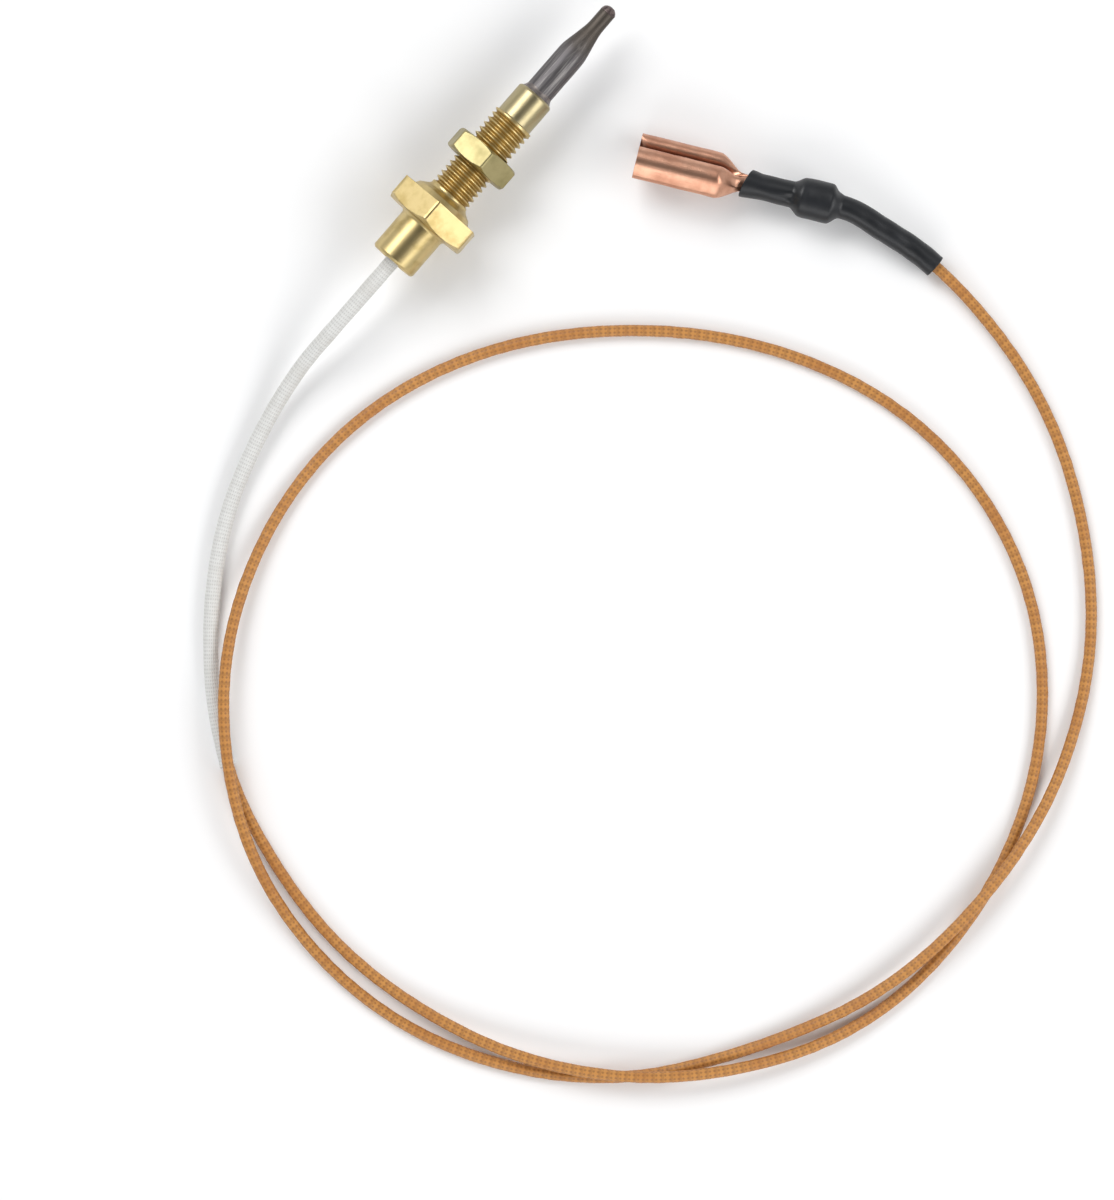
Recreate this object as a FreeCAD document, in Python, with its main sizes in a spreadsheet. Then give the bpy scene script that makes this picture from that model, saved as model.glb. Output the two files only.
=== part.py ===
import FreeCAD, Part
import math
import os

import Sketcher
from FreeCAD import Placement, Rotation, Vector

# A gas hob thermocouple, lying on a table.
#
# Frame: millimetres. The origin is on the thread's axis, in the front face of the hexagon flange.
# +X runs along the head towards the hot tip, +Z is up, and the table lies under the flange's lowest corner.
# The flange stands on one corner. The lead leaves the boss along -X, drops to the table, goes round one
# and a half times and ends in the push-on tab receptacle.

SIZES = [
    # how far a cutting outline runs past the metal that it cuts
    ("cut_clear", 1.0),
    # threaded body
    ("thread_major_diameter", 7.0),
    ("thread_pitch", 1.0),
    ("thread_depth", 0.61),
    ("thread_crest_width", 0.14),
    ("thread_root_width", 0.16),
    ("thread_length", 15.3),
    ("thread_runout", 0.45),
    ("cutter_clear", 0.3),
    ("neck_length", 0.4),
    ("flare_length", 0.65),
    ("flare_lip_diameter", 11.0),
    ("flare_lip_length", 0.85),
    ("flare_lip_fall", 0.6),
    ("flare_foot", 0.35),
    ("collar_diameter", 6.2),
    ("collar_length", 5.4),
    ("collar_edge", 0.3),
    ("hex_across_flats", 13.7),
    ("hex_thickness", 4.0),
    ("hex_chamfer_angle", 30.0),
    ("boss_diameter", 7.8),
    ("boss_length", 7.5),
    ("boss_edge", 0.4),
    ("boss_root_fillet", 0.5),
    ("lead_bore_diameter", 5.2),
    ("lead_bore_depth", 4.6),
    # locknut
    ("nut_across_flats", 10.45),
    ("nut_thickness", 3.6),
    ("nut_rear_face", 7.8),
    ("nut_turn", 11.0),
    ("nut_mouth", 0.35),
    ("nut_clearance", 0.08),
    # probe
    ("sheath_diameter", 4.56),
    ("sheath_wall", 0.48),
    ("sheath_socket_depth", 7.0),
    ("stem_length", 8.7),
    ("cone_length", 5.0),
    ("tip_diameter", 2.54),
    ("tip_wall", 0.42),
    ("tip_length", 3.1),
    ("bead_length", 1.25),
    ("core_diameter", 0.8),
    ("braze_length", 0.9),
    ("braze_rise", 0.34),
    ("fit_gap", 0.05),
    # splice inside the head
    ("ferrule_diameter", 2.2),
    ("ferrule_length", 6.0),
    ("ferrule_front", -0.5),
    # lead
    ("conductor_diameter", 0.8),
    ("lead_diameter", 1.8),
    ("lead_start", -7.0),
    ("lead_strip_margin", 0.8),
    ("sleeve_wall", 0.25),
    ("sleeve_start", -7.3),
    ("sleeve_length", 92.0),
    # tab receptacle
    ("sheet_thickness", 0.45),
    ("socket_width", 8.6),
    ("socket_height", 4.8),
    ("socket_length", 13.5),
    ("socket_floor_radius", 1.1),
    ("socket_roll_radius", 2.2),
    ("socket_curl_radius", 1.25),
    ("tab_gap", 0.95),
    ("socket_neck_length", 4.0),
    ("socket_neck_inset", 0.1),
    ("strip_lap", 0.2),
    ("socket_tilt", 57.0),
    ("barrel_height", 2.0),
    ("barrel_diameter", 2.7),
    ("barrel_start", 1.0),
    ("barrel_length", 5.8),
    ("grip_start", 8.6),
    ("grip_length", 5.0),
    ("grip_ear_reach", 2.3),
    # heat-shrink tube
    ("shrink_wall", 0.6),
    ("shrink_gap", 0.1),
    ("shrink_mouth_flare", 0.2),
    ("shrink_mouth_length", 3.0),
    ("shrink_slope_length", 1.2),
    ("shrink_tail_lap", 0.6),
    ("shrink_tail_wall", 0.9),
    ("shrink_length", 32.8),
]

# Places and radii that follow from those sizes.
DERIVED = [
    ("core_bore_diameter", "=sheath_diameter - 2 * sheath_wall"),
    ("hex_corner_radius", "=hex_across_flats / 2 / cos(30deg)"),
    ("nut_corner_radius", "=nut_across_flats / 2 / cos(30deg)"),
    ("flare_start", "=flare_lip_length"),
    ("neck_start", "=flare_start + flare_length"),
    ("thread_start", "=neck_start + neck_length"),
    ("thread_end", "=thread_start + thread_length"),
    ("body_front", "=thread_end + collar_length"),
    ("body_rear", "=-hex_thickness - boss_length"),
    ("thread_root_radius", "=thread_major_diameter / 2 - thread_depth"),
    ("sheath_rear", "=body_front - sheath_socket_depth"),
    ("cone_start", "=body_front + stem_length"),
    ("cone_end", "=cone_start + cone_length"),
    ("tip_end", "=cone_end + tip_length"),
    ("sheath_bore_radius", "=sheath_diameter / 2 - sheath_wall"),
    ("tip_bore_radius", "=tip_diameter / 2 - tip_wall"),
    ("hex_cutter_radius", "=hex_corner_radius + cut_clear"),
    ("nut_cutter_radius", "=nut_corner_radius + cut_clear"),
    ("splice_rear", "=ferrule_front - ferrule_length"),
    ("sleeve_radius", "=lead_diameter / 2 + fit_gap + sleeve_wall"),
    ("shrink_tail_radius", "=lead_diameter / 2 + fit_gap + shrink_tail_wall"),
    ("shrink_waist_radius", "=barrel_diameter / 2 + shrink_gap + shrink_wall"),
    ("shrink_bulge_radius", "=grip_ear_reach + shrink_gap + shrink_wall"),
    ("socket_rest", "=(socket_width / 2 - socket_floor_radius) * sin(socket_tilt * 1deg)"
                    " + (barrel_height - socket_floor_radius) * cos(socket_tilt * 1deg)"
                    " + socket_floor_radius"),
]

ALIASES = {alias for alias, _ in SIZES + DERIVED}

# The weld bead's profile: shares of its length and of the tip's radius.
BEAD = [(0.25, 1.0), (0.60, 0.86), (0.86, 0.58), (1.0, 0.20)]

# The braze fillet's profile: shares of its length and of its rise above the sheath.
BRAZE = [(0.0, 1.0), (0.4, 0.45), (1.0, 0.1)]

# The lead's route, from the splice inside the boss to the receptacle's crimp: x, y and the gap under the
# lead in lead diameters. "head" is the height of the head's axis and "socket" that of the crimp's axis.
ROUTE = [
    (-3.5, 0.0, "head"),
    (-19.0, 0.0, "head"),
    (-38.5, 0.5, 0.667),
    (-64.0, -7.5, 0.167),
    (-87.5, -28.5, 0.167),
    (-97.0, -54.0, 0.167),
    (-98.0, -75.0, 0.0),
    (-92.0, -98.5, 1.222),
    (-77.5, -119.0, 1.222),
    (-54.0, -134.5, 0.0),
    (-26.5, -136.0, 0.0),
    (-1.0, -126.5, 0.0),
    (18.0, -106.5, 0.0),
    (25.0, -78.5, 0.0),
    (17.0, -49.5, 0.0),
    (-3.0, -25.0, 0.0),
    (-27.0, -12.0, 0.0),
    (-52.0, -10.5, 0.0),
    (-76.5, -20.0, 1.611),
    (-95.0, -40.0, 1.611),
    (-102.0, -63.0, 0.0),
    (-99.5, -86.5, 0.0),
    (-87.0, -109.0, 0.0),
    (-67.0, -123.5, 0.0),
    (-43.5, -134.0, 1.222),
    (-14.0, -134.5, 1.222),
    (9.5, -126.0, 0.0),
    (26.5, -111.5, 0.0),
    (39.5, -91.0, 0.0),
    (44.5, -66.5, 0.389),
    (41.65, -48.57, "socket"),
    (34.37, -34.33, "socket"),
]

# The share of the shorter neighbouring run that an arc of the route takes up.
ARC_SHARE = 0.45

# Stretches of the route shorter than this, in millimetres, are left out.
SHORTEST_STRETCH = 1e-6

# How far a tube's volume may be from its section times its length.
VOLUME_TOLERANCE = 0.01



def make_sheet(doc):
    """The spreadsheet of driving sizes, one named cell for each."""
    sheet = doc.addObject("Spreadsheet::Sheet", "Sizes")
    for row, (alias, value) in enumerate(SIZES, start=1):
        sheet.set("A%d" % row, alias)
        sheet.set("B%d" % row, str(value))
        sheet.setAlias("B%d" % row, alias)
    for row, (alias, formula) in enumerate(DERIVED, start=len(SIZES) + 1):
        sheet.set("A%d" % row, alias)
        sheet.set("B%d" % row, formula)
        sheet.setAlias("B%d" % row, alias)
    doc.recompute()
    return sheet


def named(text):
    """An expression on the sheet's aliases, with each alias written as Sizes.alias."""
    words = []
    word = ""
    for letter in text + " ":
        if letter.isalnum() or letter == "_":
            word += letter
            continue
        words.append("Sizes." + word if word in ALIASES else word)
        words.append(letter)
        word = ""
    return "".join(words).strip()


def value_of(sheet, text):
    """The number that an expression on the sheet's aliases gives."""
    result = sheet.evalExpression(named(text))
    return float(getattr(result, "Value", result))


def origin_plane(body, role):
    """One of a body's own origin planes."""
    return next(plane for plane in body.Origin.OriginFeatures if plane.Role == role)


def outline_sketch(body, name, outline, sheet):
    """A closed outline of (x, radius) joined by straight lines, each corner held by two expressions."""
    sketch = body.newObject("Sketcher::SketchObject", name)
    sketch.AttachmentSupport = [(origin_plane(body, "XY_Plane"), "")]
    sketch.MapMode = "FlatFace"
    corners = [Vector(value_of(sheet, x), value_of(sheet, y), 0) for x, y in outline]
    count = len(corners)
    for index in range(count):
        sketch.addGeometry(Part.LineSegment(corners[index], corners[(index + 1) % count]), False)
    for index in range(count):
        sketch.addConstraint(Sketcher.Constraint("Coincident", index, 2, (index + 1) % count, 1))
    for index, (x, y) in enumerate(outline):
        hold_corner(sketch, sheet, index, "DistanceX", x, corners[index].x)
        hold_corner(sketch, sheet, index, "DistanceY", y, corners[index].y)
    return sketch


def hold_corner(sketch, sheet, index, kind, text, number):
    """Holds one coordinate of one corner: on the axis where it is 0, else at an expression's value."""
    if text == "0":
        axis = -2 if kind == "DistanceX" else -1
        sketch.addConstraint(Sketcher.Constraint("PointOnObject", index, 1, axis))
        return
    which = sketch.addConstraint(Sketcher.Constraint(kind, -1, 1, index, 1, number))
    sketch.setExpression("Constraints[%d]" % which, named(text))


def new_body(doc, label, start="0"):
    """An empty body whose own origin is on the head's axis at x = start."""
    body = doc.addObject("PartDesign::Body", label)
    body.Label = label
    if start != "0":
        body.setExpression("Placement.Base.x", named(start))
    return body


def turn_about_axis(body, sketch, kind, name):
    """A Revolution or Groove of a sketch, all the way round the head's axis."""
    feature = body.newObject("PartDesign::" + kind, name)
    feature.Profile = sketch
    feature.ReferenceAxis = (sketch, ["H_Axis"])
    feature.Angle = 360.0
    return feature


def turned(doc, label, sheet, start, outline):
    """A turned piece: an outline of (x from start, radius), revolved about the head's axis."""
    body = new_body(doc, label, start)
    sketch = outline_sketch(body, label + "_section", outline, sheet)
    turn_about_axis(body, sketch, "Revolution", label + "_turned")
    return body


def hexagon_sketch(body, name, radius, offset, sheet):
    """A hexagon with a corner at the top, across the head's axis at x = offset."""
    sketch = body.newObject("Sketcher::SketchObject", name)
    sketch.AttachmentSupport = [(origin_plane(body, "YZ_Plane"), "")]
    sketch.MapMode = "FlatFace"
    if offset != "0":
        sketch.setExpression("AttachmentOffset.Base.z", named(offset))
    size = value_of(sheet, radius)
    corners = [Vector(size * math.sin(step * math.pi / 3), size * math.cos(step * math.pi / 3), 0)
               for step in range(6)]
    for index in range(6):
        sketch.addGeometry(Part.LineSegment(corners[index], corners[(index + 1) % 6]), False)
    circle = sketch.addGeometry(Part.Circle(Vector(), Vector(0, 0, 1), size), True)
    sketch.addConstraint(Sketcher.Constraint("Coincident", circle, 3, -1, 1))
    for index in range(6):
        sketch.addConstraint(Sketcher.Constraint("Coincident", index, 2, (index + 1) % 6, 1))
        sketch.addConstraint(Sketcher.Constraint("PointOnObject", index, 1, circle))
    for index in range(5):
        sketch.addConstraint(Sketcher.Constraint("Equal", index, index + 1))
    sketch.addConstraint(Sketcher.Constraint("PointOnObject", 0, 1, -2))
    held = sketch.addConstraint(Sketcher.Constraint("Radius", circle, size))
    sketch.setExpression("Constraints[%d]" % held, named(radius))
    return sketch


def make_threaded_body(doc, sheet):
    """Collar, threaded stem, neck, hexagon flange and boss: one brass turning, bored through."""
    body = new_body(doc, "threaded_body")
    major = "thread_major_diameter / 2"
    boss = "boss_diameter / 2"
    stem = [
        ("0", "0"),
        ("0", "flare_lip_diameter / 2"),
        ("flare_start", "flare_lip_diameter / 2 - flare_lip_fall"),
        ("neck_start", major + " + flare_foot"),
        ("thread_start", major),
        ("thread_end", major),
        ("thread_end", "collar_diameter / 2"),
        ("body_front - collar_edge", "collar_diameter / 2"),
        ("body_front", "collar_diameter / 2 - collar_edge"),
        ("body_front", "0"),
    ]
    sketch = outline_sketch(body, "stem_section", stem, sheet)
    turn_about_axis(body, sketch, "Revolution", "stem_turned")
    flange = hexagon_sketch(body, "flange_section", "hex_corner_radius", "-hex_thickness", sheet)
    pad = body.newObject("PartDesign::Pad", "flange")
    pad.Profile = flange
    pad.setExpression("Length", named("hex_thickness"))
    rear = [
        ("-hex_thickness", "0"),
        ("-hex_thickness", "boss_diameter / 2 + boss_root_fillet"),
        ("-hex_thickness - boss_root_fillet", boss),
        ("body_rear + boss_edge", boss),
        ("body_rear", "boss_diameter / 2 - boss_edge"),
        ("body_rear", "0"),
    ]
    sketch = outline_sketch(body, "boss_section", rear, sheet)
    turn_about_axis(body, sketch, "Revolution", "boss_turned")
    reach = "(hex_cutter_radius - hex_across_flats / 2) * tan(hex_chamfer_angle * 1deg)"
    corner_cut = [
        ("-hex_thickness", "hex_across_flats / 2"),
        ("-hex_thickness + " + reach, "hex_cutter_radius"),
        ("-hex_thickness - cut_clear", "hex_cutter_radius"),
        ("-hex_thickness - cut_clear", "hex_across_flats / 2"),
    ]
    sketch = outline_sketch(body, "flange_corner_section", corner_cut, sheet)
    turn_about_axis(body, sketch, "Groove", "flange_corners")
    bore = [
        ("body_rear - cut_clear", "0"),
        ("body_rear - cut_clear", "lead_bore_diameter / 2"),
        ("body_rear + lead_bore_depth", "lead_bore_diameter / 2"),
        ("body_rear + lead_bore_depth", "core_bore_diameter / 2"),
        ("sheath_rear", "core_bore_diameter / 2"),
        ("sheath_rear", "sheath_diameter / 2 + fit_gap"),
        ("body_front + cut_clear", "sheath_diameter / 2 + fit_gap"),
        ("body_front + cut_clear", "0"),
    ]
    sketch = outline_sketch(body, "bore_section", bore, sheet)
    turn_about_axis(body, sketch, "Groove", "bore")
    over = "thread_major_diameter / 2 + cutter_clear"
    slope = "(thread_pitch - thread_crest_width - thread_root_width) / 2 / thread_depth"
    half = "(thread_root_width / 2 + (thread_depth + cutter_clear) * " + slope + ")"
    first = "(thread_start + thread_runout)"
    groove = [
        (first + " - thread_root_width / 2", "thread_root_radius"),
        (first + " + thread_root_width / 2", "thread_root_radius"),
        (first + " + " + half, over),
        (first + " - " + half, over),
    ]
    sketch = outline_sketch(body, "thread_section", groove, sheet)
    helix = body.newObject("PartDesign::SubtractiveHelix", "thread")
    helix.Profile = sketch
    helix.ReferenceAxis = (sketch, ["H_Axis"])
    helix.Mode = 0
    helix.setExpression("Pitch", named("thread_pitch"))
    helix.setExpression("Height", named("thread_length - 2 * thread_runout"))
    return body


def make_locknut(doc, sheet):
    """A thin hexagon locknut, chamfered on both faces, with a plain bore that clears the thread."""
    body = new_body(doc, "locknut", "nut_rear_face")
    body.Placement.Rotation = Rotation(Vector(1, 0, 0), value_of(sheet, "nut_turn"))
    body.setExpression("Placement.Rotation.Angle", named("nut_turn * 1deg"))
    sketch = hexagon_sketch(body, "nut_section", "nut_corner_radius", "0", sheet)
    pad = body.newObject("PartDesign::Pad", "nut_blank")
    pad.Profile = sketch
    pad.setExpression("Length", named("nut_thickness"))
    flats = "nut_across_flats / 2"
    rise = "(nut_cutter_radius - nut_across_flats / 2) * tan(hex_chamfer_angle * 1deg)"
    faces = [("rear", "0", " + ", " - "), ("front", "nut_thickness", " - ", " + ")]
    for name, face, inward, outward in faces:
        cut = [
            (face, flats),
            (face + inward + rise, "nut_cutter_radius"),
            (face + outward + "cut_clear", "nut_cutter_radius"),
            (face + outward + "cut_clear", flats),
        ]
        sketch = outline_sketch(body, "nut_%s_corner_section" % name, cut, sheet)
        turn_about_axis(body, sketch, "Groove", "nut_%s_corners" % name)
    bore_radius = "thread_major_diameter / 2 + nut_clearance"
    mouth_radius = bore_radius + " + nut_mouth"
    bore = [
        ("-cut_clear", "0"),
        ("-cut_clear", mouth_radius),
        ("0", mouth_radius),
        ("nut_mouth", bore_radius),
        ("nut_thickness - nut_mouth", bore_radius),
        ("nut_thickness", mouth_radius),
        ("nut_thickness + cut_clear", mouth_radius),
        ("nut_thickness + cut_clear", "0"),
    ]
    sketch = outline_sketch(body, "nut_bore_section", bore, sheet)
    turn_about_axis(body, sketch, "Groove", "nut_bore")
    return body


def make_probe(doc, sheet):
    """The tapered sheath, the bead that closes its tip, the braze, the core wire and its insulators."""
    outer = "sheath_diameter / 2"
    sheath = [
        ("0", "sheath_bore_radius"),
        ("0", outer),
        ("cone_start - sheath_rear", outer),
        ("cone_end - sheath_rear", "tip_diameter / 2"),
        ("tip_end - sheath_rear", "tip_diameter / 2"),
        ("tip_end - sheath_rear", "tip_bore_radius"),
        ("cone_end - sheath_rear", "tip_bore_radius"),
        ("cone_start - sheath_rear", "sheath_bore_radius"),
    ]
    bead = [("0", "0"), ("0", "tip_diameter / 2")]
    bead += [("bead_length * %g" % along, "tip_diameter / 2 * %g" % out) for along, out in BEAD]
    bead += [("bead_length", "0")]
    braze = [("0", outer)]
    braze += [("braze_length * %g" % along, "sheath_diameter / 2 + braze_rise * %g" % out)
              for along, out in BRAZE]
    braze += [("braze_length", outer)]
    core = "core_diameter / 2"
    wire_hole = "core_diameter / 2 + fit_gap"
    tip_tube = [
        ("0", wire_hole),
        ("0", "sheath_bore_radius - fit_gap"),
        ("cone_length", "tip_bore_radius - fit_gap"),
        ("cone_length + tip_length", "tip_bore_radius - fit_gap"),
        ("cone_length + tip_length", wire_hole),
    ]
    stem_reach = "cone_start - sheath_rear"
    body_reach = "sheath_rear - ferrule_front"
    core_start = "(ferrule_front + splice_rear) / 2"
    core_reach = "tip_end - " + core_start
    pieces = [
        ("probe_sheath", "sheath_rear", sheath),
        ("hot_junction_bead", "tip_end", bead),
        ("braze_ring", "body_front", braze),
        ("constantan_core", core_start,
         [("0", "0"), ("0", core), (core_reach, core), (core_reach, "0")]),
        ("tip_insulator", "cone_start", tip_tube),
        ("stem_insulator", "sheath_rear",
         [("0", wire_hole), ("0", "sheath_bore_radius - fit_gap"),
          (stem_reach, "sheath_bore_radius - fit_gap"), (stem_reach, wire_hole)]),
        ("body_insulator", "ferrule_front",
         [("0", wire_hole), ("0", "core_bore_diameter / 2 - fit_gap"),
          (body_reach, "core_bore_diameter / 2 - fit_gap"), (body_reach, wire_hole)]),
    ]
    return [turned(doc, label, sheet, start, outline) for label, start, outline in pieces]


def make_splice(doc, sheet):
    """The ferrule that joins the core wire to the lead, its insulator and the cement that seals the boss."""
    hole = "conductor_diameter / 2 + fit_gap / 2"
    outer = "ferrule_diameter / 2"
    cover = "ferrule_diameter / 2 + fit_gap"
    wall = "core_bore_diameter / 2 - fit_gap"
    plug_start = "body_rear + boss_edge"
    plug_length = "lead_bore_depth - boss_edge"
    plug_hole = "sleeve_radius + fit_gap"
    plug_outer = "lead_bore_diameter / 2 - fit_gap / 2"
    return [
        turned(doc, "splice_ferrule", sheet, "splice_rear",
               [("0", hole), ("0", outer), ("ferrule_length", outer), ("ferrule_length", hole)]),
        turned(doc, "splice_insulator", sheet, "splice_rear",
               [("0", cover), ("0", wall), ("ferrule_length", wall), ("ferrule_length", cover)]),
        turned(doc, "cement_plug", sheet, plug_start,
               [("0", plug_hole), ("0", plug_outer), (plug_length, plug_outer), (plug_length, plug_hole)]),
    ]


def feature(doc, label, shape):
    """A free-form piece: a document object that holds one shape."""
    piece = doc.addObject("Part::Feature", label)
    piece.Label = label
    piece.Shape = shape
    return piece


def table_height(sheet):
    """The table's height: it touches the flange's lowest corner."""
    return -value_of(sheet, "hex_corner_radius")


def route_points(sheet):
    """The route's points in the part's frame."""
    table = table_height(sheet)
    thick = value_of(sheet, "lead_diameter")
    axes = {"head": 0.0, "socket": table + value_of(sheet, "socket_rest")}
    heights = [axes[gap] if gap in axes else table + (0.5 + gap) * thick for _, _, gap in ROUTE]
    return [Vector(x, y, height) for (x, y, _), height in zip(ROUTE, heights)]


def route_edges(points):
    """Straight runs joined by tangent arcs as large as the runs allow, with each arc's radius."""
    edges = []
    radii = []
    last = points[0]
    for before, corner, after in zip(points, points[1:], points[2:]):
        shorter = min((corner - before).Length, (after - corner).Length)
        back = (before - corner).normalize()
        ahead = (after - corner).normalize()
        half_turn = (math.pi - back.getAngle(ahead)) / 2
        reach = ARC_SHARE * shorter
        radius = reach / math.tan(half_turn)
        inward = (back + ahead).normalize()
        start = corner + back * reach
        end = corner + ahead * reach
        middle = corner + inward * (radius / math.cos(half_turn) - radius)
        edges.append(Part.LineSegment(last, start).toShape())
        edges.append(Part.Arc(start, middle, end).toShape())
        radii.append(radius)
        last = end
    edges.append(Part.LineSegment(last, points[-1]).toShape())
    return edges, radii


def lead_route(sheet):
    """The lead's whole path and its length."""
    edges, _ = route_edges(route_points(sheet))
    return edges, sum(edge.Length for edge in edges)


def stretch(edges, start, end):
    """The part of a path between two distances along it."""
    kept = []
    passed = 0.0
    for edge in edges:
        low = max(start - passed, 0.0)
        high = min(end - passed, edge.Length)
        if high - low > SHORTEST_STRETCH:
            first = edge.getParameterByLength(low)
            last = edge.getParameterByLength(high)
            kept.append(edge.Curve.toShape(first, last))
        passed += edge.Length
    return kept


def tube_along(edges, radius):
    """A round solid of constant radius along a path of lines and arcs, checked by its volume."""
    path = Part.Wire(edges)
    begin = edges[0].valueAt(edges[0].FirstParameter)
    along = edges[0].tangentAt(edges[0].FirstParameter)
    circle = Part.Wire([Part.Circle(begin, along, radius).toShape()])
    solid = path.makePipeShell([circle], True, False)
    expected = math.pi * radius * radius * path.Length
    if abs(solid.Volume - expected) > VOLUME_TOLERANCE * expected:
        raise RuntimeError("tube volume %.2f, expected %.2f" % (solid.Volume, expected))
    return solid


def make_lead(doc, sheet):
    """The conductor, the glass-fibre insulated lead over it and the white sleeve over the hot end."""
    edges, radii = route_edges(route_points(sheet))
    length = sum(edge.Length for edge in edges)
    print("lead arc radii (mm):", ", ".join("%.0f" % radius for radius in radii))
    print("lead path length (mm): %.1f" % length)
    begin = ROUTE[0][0]
    gap = value_of(sheet, "fit_gap")
    conductor = value_of(sheet, "conductor_diameter") / 2
    lead = value_of(sheet, "lead_diameter") / 2
    sleeve = value_of(sheet, "sleeve_radius")
    lead_path = stretch(edges, begin - value_of(sheet, "lead_start"), length - lead_tail(sheet))
    sleeve_from = begin - value_of(sheet, "sleeve_start")
    sleeve_path = stretch(edges, sleeve_from, sleeve_from + value_of(sheet, "sleeve_length"))
    insulation = tube_along(lead_path, lead).cut(tube_along(edges, conductor + gap / 2))
    cover = tube_along(sleeve_path, sleeve).cut(tube_along(edges, lead + gap))
    return [
        feature(doc, "lead_conductor", tube_along(edges, conductor)),
        feature(doc, "insulated_lead", insulation),
        feature(doc, "glass_fibre_sleeve", cover),
    ]


def lead_tail(sheet):
    """How far the lead's insulation is stripped back from the end of its conductor."""
    return value_of(sheet, "barrel_length") + value_of(sheet, "lead_strip_margin")


def socket_section(sheet, shift):
    """The receptacle's rolled section, as a face across x = shift: floor, sides and inturned rolls."""
    sheet_metal = value_of(sheet, "sheet_thickness")
    half = value_of(sheet, "socket_width") / 2
    height = value_of(sheet, "socket_height")
    floor_radius = value_of(sheet, "socket_floor_radius")
    roll = value_of(sheet, "socket_roll_radius")
    curl = value_of(sheet, "socket_curl_radius")
    lip = sheet_metal + value_of(sheet, "tab_gap")
    top = half - roll

    def point(across, up):
        return Vector(shift, across, up)

    def arc(centre, radius, first, last):
        angles = (first, (first + last) / 2, last)
        ends = [point(centre[0] + radius * math.cos(math.radians(angle)),
                      centre[1] + radius * math.sin(math.radians(angle))) for angle in angles]
        return Part.Arc(*ends).toShape()

    def line(first, last):
        return Part.LineSegment(first, last).toShape()

    foot = (half - floor_radius, floor_radius)
    crown = (top, height - roll)
    turn_in = (top, height - curl)
    inner_curl = curl - sheet_metal
    outer = [
        line(point(0, 0), point(foot[0], 0)),
        arc(foot, floor_radius, -90, 0),
        line(point(half, floor_radius), point(half, crown[1])),
        arc(crown, roll, 0, 90),
        arc(turn_in, curl, 90, 180),
        line(point(top - curl, turn_in[1]), point(top - curl, lip)),
        line(point(top - curl, lip), point(top - inner_curl, lip)),
        line(point(top - inner_curl, lip), point(top - inner_curl, turn_in[1])),
        arc(turn_in, inner_curl, 180, 90),
        arc(crown, roll - sheet_metal, 90, 0),
        line(point(half - sheet_metal, crown[1]), point(half - sheet_metal, floor_radius)),
        arc(foot, floor_radius - sheet_metal, 0, -90),
        line(point(foot[0], sheet_metal), point(0, sheet_metal)),
        line(point(0, sheet_metal), point(0, 0)),
    ]
    return Part.Face(Part.Wire(outer))


def channel_wire(shift, half, floor, side, wall):
    """A U-shaped closed outline across x = shift: floor level, side height and wall thickness."""
    corners = [
        (-half, floor + side), (-half, floor), (half, floor), (half, floor + side),
        (half - wall, floor + side), (half - wall, floor + wall), (-half + wall, floor + wall),
        (-half + wall, floor + side),
    ]
    points = [Vector(shift, across, up) for across, up in corners]
    return Part.makePolygon(points + points[:1])


def rod(start, length, radius, centre):
    """A cylinder along -x from x = -start, about the crimp's axis."""
    return Part.makeCylinder(radius, length, Vector(-start, 0, centre), Vector(-1, 0, 0))


def make_receptacle(doc, sheet):
    """The push-on tab receptacle: rolled socket, tapering neck, conductor crimp and insulation grip."""
    wall = value_of(sheet, "sheet_thickness")
    neck = value_of(sheet, "socket_neck_length")
    half = value_of(sheet, "socket_width") / 2
    centre = value_of(sheet, "barrel_height")
    barrel = value_of(sheet, "barrel_diameter") / 2
    gap = value_of(sheet, "fit_gap")
    hole = value_of(sheet, "conductor_diameter") / 2 + gap
    side = value_of(sheet, "socket_height") / 2
    right = socket_section(sheet, neck).extrude(Vector(value_of(sheet, "socket_length"), 0, 0))
    left = right.mirror(Vector(), Vector(0, 1, 0))
    inset = value_of(sheet, "socket_neck_inset")
    lap = value_of(sheet, "strip_lap")
    wide = channel_wire(neck + wall, half - inset, 0.0, side, wall)
    narrow = channel_wire(0.0, barrel, centre - barrel, barrel, wall)
    funnel = Part.makeLoft([wide, narrow], True, True)
    barrel_start = value_of(sheet, "barrel_start")
    barrel_length = value_of(sheet, "barrel_length")
    grip_start = value_of(sheet, "grip_start")
    grip_length = value_of(sheet, "grip_length")
    lead = value_of(sheet, "lead_diameter") / 2
    throat_corner = Vector(-barrel_start, -wall, centre - barrel)
    throat = Part.makeBox(barrel_start, 2 * wall, wall, throat_corner)
    crimp = rod(barrel_start, barrel_length, barrel, centre)
    crimp = crimp.cut(rod(barrel_start, barrel_length, hole, centre))
    link_start = barrel_start + barrel_length - lap
    link_length = grip_start - link_start + lap
    link_corner = Vector(-link_start - link_length, -wall, centre - lead - wall)
    link = Part.makeBox(link_length, 2 * wall, wall, link_corner)
    grip = rod(grip_start, grip_length, lead + gap + wall, centre)
    reach = value_of(sheet, "grip_ear_reach")
    pieces = [left, funnel, throat, crimp, link, grip]
    root = lead + gap + wall / 2
    for low in (-reach, root):
        corner = Vector(-grip_start - grip_length, low, centre - wall)
        pieces.append(Part.makeBox(grip_length, reach - root, 2 * wall, corner))
    shape = right.multiFuse(pieces).removeSplitter()
    place = socket_placement(sheet)
    edges, length = lead_route(sheet)
    hole_far = length - grip_start - 2 * grip_length
    lead_hole = tube_along(stretch(edges, hole_far, length - lead_tail(sheet)), lead + gap)
    shape.Placement = place
    return feature(doc, "tab_receptacle", shape.cut(lead_hole))


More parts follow.
